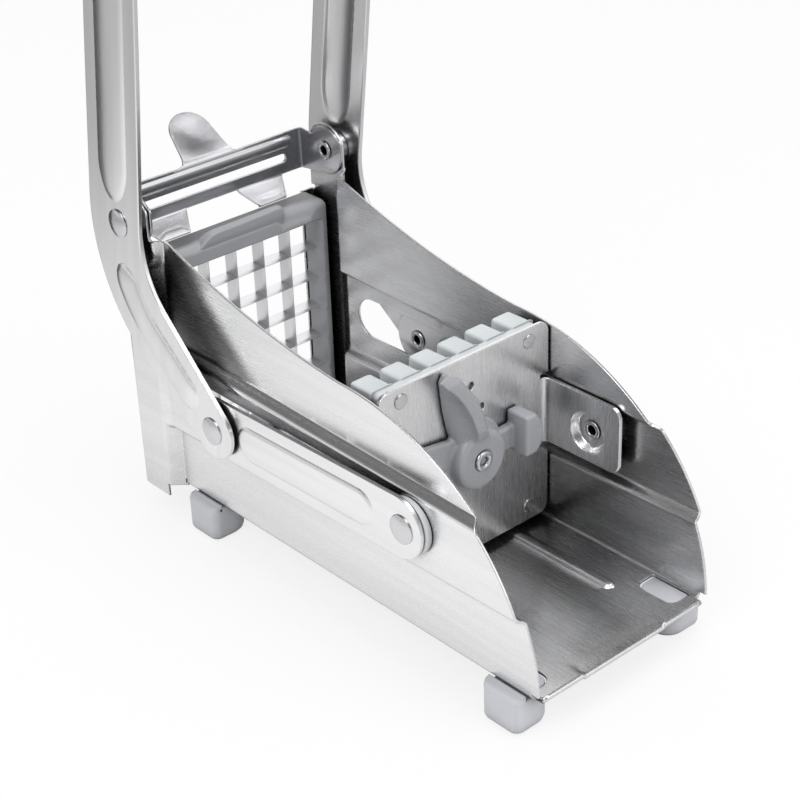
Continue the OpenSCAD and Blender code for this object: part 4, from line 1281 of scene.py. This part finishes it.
class CUTTER_OT_rivets(bpy.types.Operator):
    """Turns the rivets, with domed heads outside and rolled hollow ends inside, and the bushes,
    spacers and washers that they run through"""
    bl_idname = "cutter.rivets"
    bl_label = "Rivets, bushes and spacers"

    def execute(self, context):
        edge = chosen(context, "turned_edge")
        bright = finish(context, "nickel_plated_steel")
        brushed = finish(context, "brushed_steel_strap")
        shank = SHANK_D / 2
        bore = shank + 0.05

        def hollow_rivet(node):
            """Profile of a rivet with a rolled end inside and a domed head outside"""
            tail, crown = span(node)
            return rolled_tail(tail) + [(shank, crown - HEAD_H)] + domed(crown - HEAD_H)

        stud, stud_crown = span("link_stud_right")
        stud_half = [(AXIS_R, stud), (shank, stud), (shank, stud_crown - HEAD_H)] + domed(stud_crown - HEAD_H)
        tail, slot_end = span("slot_rivet_right")
        slot_half = rolled_tail(tail) + [(shank, slot_end), (AXIS_R, slot_end)]
        # the bush: a barrel in the slot and a flange inside the wall
        bush_low, bush_high = span("slot_bush_right")
        bush_r = SLOT_R - 0.3
        flange_r = (BUSH[1][2] - BUSH[0][2]) / 2
        flange_y = WALL_Y + BAND_OUT + SHEET + 0.2
        bush = round_corners([(bush_r, bush_low), (bush_r, flange_y), (flange_r, flange_y),
                              (flange_r, bush_high), (bore, bush_high), (bore, bush_low)],
                             (edge, 0.1, edge, 2 * edge, edge, edge), 3)
        spacer = sleeve(*span("pivot_spacer_right"), SPACER_D / 2, bore, edge)
        washer = sleeve(*span("arm_washer_right"), WASHER_D / 2, bore, 0.15)
        rows = (
            ("pivot_rivet", PIVOT, hollow_rivet("pivot_rivet_right"), "rivet_steel", bright),
            ("arm_rivet", ELBOW, hollow_rivet("arm_rivet_right"), "rivet_steel", bright),
            ("link_stud", PIN, stud_half, "rivet_steel", bright),
            ("slot_rivet", PIN, slot_half, "rivet_steel", bright),
            ("slot_bush", PIN, bush, "slot_bush_plastic", finish(context, "moulded_acetal_bush")),
            ("pivot_spacer", PIVOT, spacer, "brushed_stainless", brushed),
            ("arm_washer", ELBOW, washer, "brushed_stainless", brushed),
        )
        for name, place, profile, slot, material in rows:
            both_sides(name, "turned", [turned(profile, (place[0], 0, place[1]))], slot, material)
        head = span("crossbar_screws")[1] - HEAD_H
        screw_r, screw_l = 2.5, 12
        screw = [(AXIS_R, head - screw_l), (screw_r, head - screw_l), (screw_r, head)] + domed(head)
        screws = [turned(screw, (BAR_END[0], 0, BAR_END[1]))]
        piece("crossbar_screws_turned", screws + mirrored(screws), "handle", "rivet_steel", bright,
              ["crossbar_screws"])
        return {"FINISHED"}


class CUTTER_OT_plate_rivets(bpy.types.Operator):
    """Turns the four flat rivets of the peg block and the hollow rivet that the knob turns on"""
    bl_idname = "cutter.plate_rivets"
    bl_label = "Plate rivets"

    def execute(self, context):
        bright = finish(context, "nickel_plated_steel")
        low, high = node_box("block_rivets")
        shank, head_r = 2.0, 2.6
        flat = [(AXIS_R, low[0]), (shank, low[0]), (shank, PLATE_X), (head_r, PLATE_X),
                (head_r, PLATE_X + 0.25), (head_r - 0.25, high[0] - 0.05), (AXIS_R, high[0])]
        parts = [turned(flat, (0, y, z), "X", 32) for y in (low[1] + head_r, high[1] - head_r)
                 for z in (low[2] + head_r, high[2] - head_r)]
        piece("block_rivets_turned", parts, "pusher", "rivet_steel", bright, ["block_rivets"])

        low, high = node_box("knob_rivet")
        foot, top = low[0], high[0]
        bore, shank, foot_r, foot_h = 1.5, 2.5, 4.0, 1.4
        rim = [(bore + 1 - math.cos(a), top - 0.7 + 0.7 * math.sin(a)) for a in np.radians(range(0, 181, 20))]
        hollow = [(AXIS_R, top - 2.6), (bore, top - 2.6)] + rim
        hollow += [(shank, top - 0.8), (shank, foot + foot_h), (foot_r, foot + foot_h), (foot_r, foot),
                   (AXIS_R, foot)]
        piece("knob_rivet_turned", [turned(hollow, (0, *HUB), "X", 36)], BODY_OF["knob_rivet"],
              "rivet_steel", bright, ["knob_rivet"])
        return {"FINISHED"}


# ---- Knob --------------------------------------------------------------------------------

class CUTTER_OT_knob(bpy.types.Operator):
    """Moulds the lock knob: a round base and hub, a thin side arm, a finger block with a round
    face, and a thumb wing with a hollow flank"""
    bl_idname = "cutter.knob"
    bl_label = "Lock knob"

    def execute(self, context):
        base = KNOB[0][0]
        skin = chosen(context, "skin")

        def pad(outline, height, edge):
            """An upright pad on the plate"""
            def top(u, v):
                """The pad's flat front"""
                return np.stack([np.full(len(u), base + height), u, v + HUB[1]], 1)

            def foot(u, v):
                """Its foot on the plate"""
                return np.stack([np.full(len(u), base), u, v + HUB[1]], 1)

            return pressed_sheet(top, outline, edge=edge, side=1.2, fine=0.8, coarse=3, back=foot)

        # the thumb wing stands on a broad foot and thins to a leaning crest, hollow on its left
        foot_line = np.array([(-7.6, 5), (-9.6, 12), (-11.2, 19), (-12.0, 25), (-12.6, 30.5), (-11, 33),
                              (-7.5, 30.5), (-3, 24), (-0.5, 18), (2, 12), (4, 6)])
        crest_line = np.array([(-3.0, 9), (-4.6, 13), (-6.2, 17.6), (-9.6, 24.2), (-14.3, 30.8),
                               (-19.6, 35.6), (-17, 37), (-12.4, 36.2), (-4.2, 25.6), (-0.6, 17.6), (1.6, 9)])
        crest_h = 9.4
        wing = []
        for s in np.linspace(0, 1, 9):
            share = ramp(s, 0.45) ** 1.5
            ring = foot_line * (1 - share) + crest_line * share
            if s == 1:
                ring += (ring.mean(0) - ring) * 0.25
            wing.append([(base + crest_h * s, y, z + HUB[1]) for y, z in ring])
        arm = round_slot((-20.4, 5.4), (0, 2.8), 5.2)
        neck = round_slot((0, 0), (18, 0.6), 4.2)
        block = round_corners([(16.8, -5.2), (21.5, -5.2), (24.6, -2), (24.6, 5.4), (21.4, 9.4), (16.8, 9.4)],
                              (0.8, 2.4, 2.6, 3.4, 2.2, 0.8))
        # radius and height of a flat base, the hub on it and the recess round the rivet
        hub_r, hub_h = 10.5, 7.0
        hub = [(AXIS_R, 0), (13, 0), (13, 1.6), (12.4, 2.3), (hub_r + 0.4, 2.6), (hub_r, 3.2),
               (hub_r, hub_h - 1.6), (hub_r - 0.5, hub_h - 0.6), (hub_r - 1.8, hub_h), (3.9, hub_h),
               (3.7, hub_h - 0.5), (AXIS_R, hub_h - 0.5)]
        hub = [(radius, base + height) for radius, height in hub]
        parts = [lofted(wing), pad(arm, 2.6, 0.9), pad(neck, 3.4, 0.9), pad(block, 9.5, 1.0),
                 turned(hub, (0, 0, HUB[1]), "X")]
        knob = piece("lock_knob_moulded", parts, "knob", "knob_plastic",
                     finish(context, "moulded_abs_knob"), ["lock_knob"], 60)
        moulded(knob, skin, 2)
        return {"FINISHED"}


# ---- Latch -------------------------------------------------------------------------------

class CUTTER_OT_latch(bpy.types.Operator):
    """Presses the cassette latch from one strip: a strap with a rib and a long slot, a thumb
    tongue bent back, two tabs bent forward over the cassette, and a lug at each end"""
    bl_idname = "cutter.latch"
    bl_label = "Cassette latch"

    def execute(self, context):
        thick = 1.0
        strap_x = REAR_X - 3.5
        bottom = PIVOT[1] - 10.4
        top = bottom + 15
        inner = 1.0
        fold = CHANNEL_Y - 0.2 - thick - inner
        lug_r = 8.7
        pivot_u = fold + QUARTER_L + PIVOT[0] - (strap_x + inner)
        rib_z = top - 3.4
        # thumb tongue: how far it leans back, its length and the length of the roll at its root
        lean = math.radians(50)
        tongue_l = 21.0
        roll_l = 3.0
        # tabs: slope, then length of the roll, of the slope and what is left, turned down
        drop = math.radians(57)
        tab_roll_l, slope_l = 1.6, 7.4

        def surface(u, v):
            """The strip's front, which runs on along the tongue, the tabs and the lugs"""
            side = np.sign(u)
            reach = np.abs(u)
            rib = 0.7 * rib_section(offset_to_run(reach, v, (0, rib_z), (34.3, rib_z)), 2.2, 0.4, 0.9)
            x = strap_x + np.where(reach < fold, rib, 0)
            y = u.copy()
            z = v.copy()
            # lugs, folded forward at both ends
            a = np.clip((reach - fold) / QUARTER_L, 0, 1) * math.pi / 2
            wrapped = (reach > fold) & (v > bottom - 1)
            past = np.maximum(reach - fold - QUARTER_L, 0)
            x = np.where(wrapped, strap_x + inner * (1 - np.cos(a)) + past, x)
            y = np.where(wrapped, side * (fold + inner * np.sin(a)), y)
            # thumb tongue, curled back over a roll
            root = top - 1
            bent = (v > root) & (reach < 15)
            roll_r = roll_l / lean
            t = np.clip((v - root) / roll_l, 0, 1) * lean
            rest = np.maximum(v - root - roll_l, 0)
            x = np.where(bent, strap_x - roll_r * (1 - np.cos(t)) - rest * math.sin(lean), x)
            z = np.where(bent, root + roll_r * np.sin(t) + rest * math.cos(lean), z)
            # shallow hollow for the thumb
            thumb = np.where(bent, 0.8 * np.exp(-(reach ** 2 + (rest - 8.5) ** 2) / 36), 0)
            x -= thumb * math.cos(lean)
            z -= thumb * math.sin(lean)
            # tabs, sloping forward and then turned down at the end
            root = bottom + 0.6
            on_tab = (v < root) & (reach < fold)
            tab_r = tab_roll_l / drop
            t = np.clip((root - v) / tab_roll_l, 0, 1) * drop
            slope = np.clip(root - tab_roll_l - v, 0, slope_l)
            end = np.maximum(root - tab_roll_l - slope_l - v, 0)
            x = np.where(on_tab, strap_x + tab_r * (1 - np.cos(t)) + slope * math.sin(drop) + end * 0.15, x)
            z = np.where(on_tab, root - tab_r * np.sin(t) - slope * math.cos(drop) - end * 0.99, z)
            return np.stack([x, y, z], 1)

        # half the outline, from the middle of the strap's lower edge round to the tongue's tip
        tab = [(11, bottom), (14.6, bottom - 7.6), (15.2, bottom - 9.4), (27.2, bottom - 9.4),
               (27.8, bottom - 7.6), (31.4, bottom)]
        pivot = (pivot_u, PIVOT[1])
        lug = [(fold + 2, bottom), (pivot_u - 4, bottom + 1.2)]
        lug += arc(pivot, lug_r, -100, 0, 12)
        lug += [(pivot_u + lug_r, PIVOT[1] + 4.2), (pivot_u + lug_r - 0.4, PIVOT[1] + 5.0),
                (pivot_u + lug_r - 1.3, PIVOT[1] + 5.4)]
        lug += arc(pivot, lug_r, 46, 150, 12)
        lug += [(fold + 2.2, top + 0.4)]
        tip_r = 8.3
        tongue = [(12.5, top), (10.6, top + 0.7), (9.6, top + 3.2)]
        half = tab + lug + tongue
        tip = arc((0, top + tongue_l - 9.4), tip_r, 0, 180, 15)
        outline = half + tip + [(-u, v) for u, v in half[::-1]]
        slot_z = bottom + 5.8
        holes = [round_slot((-32, slot_z), (32, slot_z), 1.6, 8)]
        holes += [rivet_hole((side * pivot_u, PIVOT[1])) for side in (1, -1)]
        edge = chosen(context, "sheet_edge")
        latch = pressed_sheet(surface, outline, holes, thick, edge, fine=0.5, coarse=10)
        piece("cassette_latch_pressed", [latch], "latch", "brushed_stainless",
              finish(context, "brushed_steel_strap"), ["cassette_latch"])
        return {"FINISHED"}


# ---- Stage -------------------------------------------------------------------------------

# The photograph's camera, in the cutter's own frame
CAMERA_PLACE = (306.6, -353.5, 349.3)
CAMERA_AZIMUTH = math.radians(49.03)
CAMERA_ELEVATION = math.radians(29.2)
CAMERA_ROLL = math.radians(-2.09)
CAMERA_LENS = 85.0

# What the metal sees of the room, where 1 is white: the ceiling, the backdrop over the horizon
# and the paper far from the cutter; and the light that the room gives to all else
CEILING = 0.14
BACKDROP = 0.5
PAPER_FAR = 0.45
AMBIENT = 0.52

PAPER_HALF = 6.0
PAPER_SINK = 0.0001
PAPER_GLOW = 0.82
# Where the paper is brightest, and how far from there its light starts and ends to fall, in metres
PAPER_MIDDLE = (0.02, -0.2, 0.0)
PAPER_FALL = (0.12, 0.42)

# Corners of the dark card in metres: it lies on the paper and stands up at its rear
CARD = [(-0.2, -0.06, 0.0002), (-0.2, 0.3, 0.0002), (-0.5, 0.3, 0.0002), (-0.5, -0.23, 0.0002),
        (-0.5, 0.3, 0.16), (-0.5, -0.23, 0.16)]

# Each lamp's place from the middle of the cutter and width, in metres, and its power in watts
LAMPS = {
    "key": ((0.35, -1.1, 1.2), 0.9, 9.0),
    "fill": ((1.3, 0.5, 0.9), 1.2, 6.0),
    "back": ((-1.1, 0.9, 0.8), 1.2, 2.5),
    "top": ((0.2, 0.1, 1.5), 1.0, 7.0),
}


def seen_white(tree):
    """1 for rays from the camera, and for those that metal and glass send on"""
    path = add(tree, "ShaderNodeLightPath")
    first = add(tree, "ShaderNodeMath", {"operation": "MAXIMUM"}, _0=(path, "Is Camera Ray"),
                _1=(path, "Is Glossy Ray"))
    return add(tree, "ShaderNodeMath", {"operation": "MAXIMUM"}, _0=(first, "Value"),
               _1=(path, "Is Transmission Ray")), "Value"


def in_metal(tree, strength):
    """1, but the given strength for rays that metal and other glossy surfaces send on"""
    path = add(tree, "ShaderNodeLightPath")
    return add(tree, "ShaderNodeMix", {"data_type": "FLOAT"}, _0=(path, "Is Glossy Ray"), _2=1.0,
               _3=strength), 0


def white_paper():
    """Seamless paper, matt and white: it takes the cutter's shadow, and glows enough to show as
    white as the background. In metal it is brightest near the cutter"""
    made, tree = new_material("white_paper_floor")
    matt = add(tree, "ShaderNodeBsdfDiffuse", Color=(*linear("f4f4f4"), 1))
    place = add(tree, "ShaderNodeNewGeometry")
    reach = add(tree, "ShaderNodeVectorMath", {"operation": "DISTANCE"}, _0=(place, "Position"),
                _1=PAPER_MIDDLE)
    fall = add(tree, "ShaderNodeMapRange", Value=(reach, "Value"), From_Min=PAPER_FALL[0],
               From_Max=PAPER_FALL[1], To_Min=1.0, To_Max=PAPER_FAR)
    glow = add(tree, "ShaderNodeEmission", Color=(1, 1, 1, 1), Strength=in_metal(tree, (fall, "Result")))
    share = add(tree, "ShaderNodeMath", {"operation": "MULTIPLY"}, _0=seen_white(tree), _1=PAPER_GLOW)
    blend = add(tree, "ShaderNodeMixShader", _0=(share, "Value"), _1=(matt, "BSDF"), _2=(glow, "Emission"))
    add(tree, "ShaderNodeOutputMaterial", Surface=(blend, "Shader"))
    return made


def black_felt():
    """Felt, black and matt: it takes light away and shows no highlight"""
    made, tree = new_material("black_felt_card")
    felt = add(tree, "ShaderNodeBsdfDiffuse", Color=(*linear("4a4a4c"), 1))
    add(tree, "ShaderNodeOutputMaterial", Surface=(felt, "BSDF"))
    return made


def studio_sheet(scene, name, corners, faces, material):
    """A flat sheet of the studio, in metres"""
    mesh = bpy.data.meshes.new(name)
    mesh.from_pydata(corners, [], faces)
    mesh.materials.append(material)
    made = bpy.data.objects.new(name, mesh)
    scene.collection.objects.link(made)
    return made


def studio_room(world):
    """White all round for the camera. In metal it is white at the horizon and dimmer overhead,
    as a studio's dark ceiling is, and the backdrop behind the cutter reaches higher than the walls"""
    world.use_nodes = True
    tree = world.node_tree
    tree.nodes.clear()
    place = add(tree, "ShaderNodeTexCoord")
    height = add(tree, "ShaderNodeSeparateXYZ", Vector=(place, "Generated"))
    ceiling = add(tree, "ShaderNodeMapRange", Value=(height, "Z"), From_Min=0.02, From_Max=0.4,
                  To_Min=1.0, To_Max=CEILING)
    facing = add(tree, "ShaderNodeVectorMath", {"operation": "DOT_PRODUCT"}, _0=(place, "Generated"),
                 _1=(-math.sin(CAMERA_AZIMUTH), math.cos(CAMERA_AZIMUTH), 0.0))
    backdrop = add(tree, "ShaderNodeMapRange", Value=(facing, "Value"), From_Min=0.4, From_Max=0.75,
                   To_Min=0.0, To_Max=BACKDROP)
    room = add(tree, "ShaderNodeMix", {"data_type": "FLOAT"}, _0=(backdrop, "Result"),
               _2=(ceiling, "Result"), _3=1.0)
    strength = add(tree, "ShaderNodeMix", {"data_type": "FLOAT"}, _0=seen_white(tree), _2=AMBIENT,
                   _3=in_metal(tree, (room, 0)))
    sky = add(tree, "ShaderNodeBackground", Color=(1, 1, 1, 1), Strength=(strength, 0))
    add(tree, "ShaderNodeOutputWorld", Surface=(sky, "Background"))


def photo_camera(scene):
    """A camera at the photograph's place and angle"""
    camera = bpy.data.objects.new("camera", bpy.data.cameras.new("camera"))
    camera.data.lens = CAMERA_LENS
    camera.data.sensor_width = 36
    camera.data.clip_start = 0.01
    level = math.cos(CAMERA_ELEVATION)
    back = Vector((math.sin(CAMERA_AZIMUTH) * level, -math.cos(CAMERA_AZIMUTH) * level,
                   math.sin(CAMERA_ELEVATION)))
    right = Vector((0, 0, 1)).cross(back).normalized()
    up = back.cross(right)
    turned_right = math.cos(CAMERA_ROLL) * right + math.sin(CAMERA_ROLL) * up
    turned_up = math.cos(CAMERA_ROLL) * up - math.sin(CAMERA_ROLL) * right
    matrix = Matrix((turned_right, turned_up, back)).transposed().to_4x4()
    matrix.translation = (Vector(CAMERA_PLACE) + Vector((FRONT, 0, FLOOR))) * MM
    camera.matrix_world = matrix
    scene.collection.objects.link(camera)
    scene.camera = camera


class CUTTER_OT_stage(bpy.types.Operator):
    """Sets up a pale floor, soft studio light and the camera at the photograph's angle"""
    bl_idname = "cutter.stage"
    bl_label = "Stage"

    def execute(self, context):
        scene = context.scene
        scene.view_settings.view_transform = "Standard"
        centre = Vector(((CAD_BOX[0][0] + CAD_BOX[1][0]) / 2, (CAD_BOX[0][1] + CAD_BOX[1][1]) / 2, 0))
        corners = [(x, y, -PAPER_SINK) for x, y in square(centre, PAPER_HALF)]
        studio_sheet(scene, "floor", corners, [(0, 1, 2, 3)], white_paper())
        # a dark card, as studios use, seen only in metal and other glossy surfaces
        card = studio_sheet(scene, "dark_card", CARD, [(0, 1, 2, 3), (3, 2, 4, 5)], black_felt())
        card.visible_camera = False
        card.visible_diffuse = False
        card.visible_shadow = False
        scene.world = scene.world or bpy.data.worlds.new("studio")
        studio_room(scene.world)

        target = centre + Vector((0, 0, 0.08))
        for name, (place, width, power) in LAMPS.items():
            light = bpy.data.lights.new(name, "AREA")
            light.shape = "SQUARE"
            light.size = width
            light.energy = power
            lamp = bpy.data.objects.new(name, light)
            lamp.location = target + Vector(place)
            lamp.rotation_euler = (target - lamp.location).to_track_quat("-Z", "Y").to_euler()
            scene.collection.objects.link(lamp)
        photo_camera(scene)
        return {"FINISHED"}


class CUTTER_PT_pieces(bpy.types.Panel):
    """The cutter's pieces, in the order in which they are made"""
    bl_idname = "CUTTER_PT_pieces"
    bl_label = "French fry cutter"
    bl_space_type = "VIEW_3D"
    bl_region_type = "UI"
    bl_category = "Cutter"

    def draw(self, context):
        for group in (context.scene.cutter_sizes, context.scene.cutter_colours):
            column = self.layout.column(align=True)
            for name in group.__annotations__:
                column.prop(group, name)
        column = self.layout.column(align=True)
        for operator in OPERATORS:
            column.operator(operator.bl_idname)


OPERATORS = (CUTTER_OT_stage, CUTTER_OT_body, CUTTER_OT_feet, CUTTER_OT_cassette, CUTTER_OT_blades,
             CUTTER_OT_arms, CUTTER_OT_grip, CUTTER_OT_links, CUTTER_OT_pusher, CUTTER_OT_pegs,
             CUTTER_OT_rivets, CUTTER_OT_plate_rivets, CUTTER_OT_knob, CUTTER_OT_latch)
CLASSES = (CutterSizes, CutterColours, *OPERATORS, CUTTER_PT_pieces)


def register():
    """Registers the classes and hangs their sizes and colours on the scene"""
    for each in CLASSES:
        bpy.utils.register_class(each)
    bpy.types.Scene.cutter_sizes = PointerProperty(type=CutterSizes)
    bpy.types.Scene.cutter_colours = PointerProperty(type=CutterColours)


def unregister():
    """Takes back what register did"""
    del bpy.types.Scene.cutter_colours
    del bpy.types.Scene.cutter_sizes
    for each in reversed(CLASSES):
        bpy.utils.unregister_class(each)


def main():
    """Registers the classes and makes all pieces in order"""
    register()
    for operator in OPERATORS:
        group, name = operator.bl_idname.split(".")
        getattr(getattr(bpy.ops, group), name)()


if __name__ == "__main__":
    main()
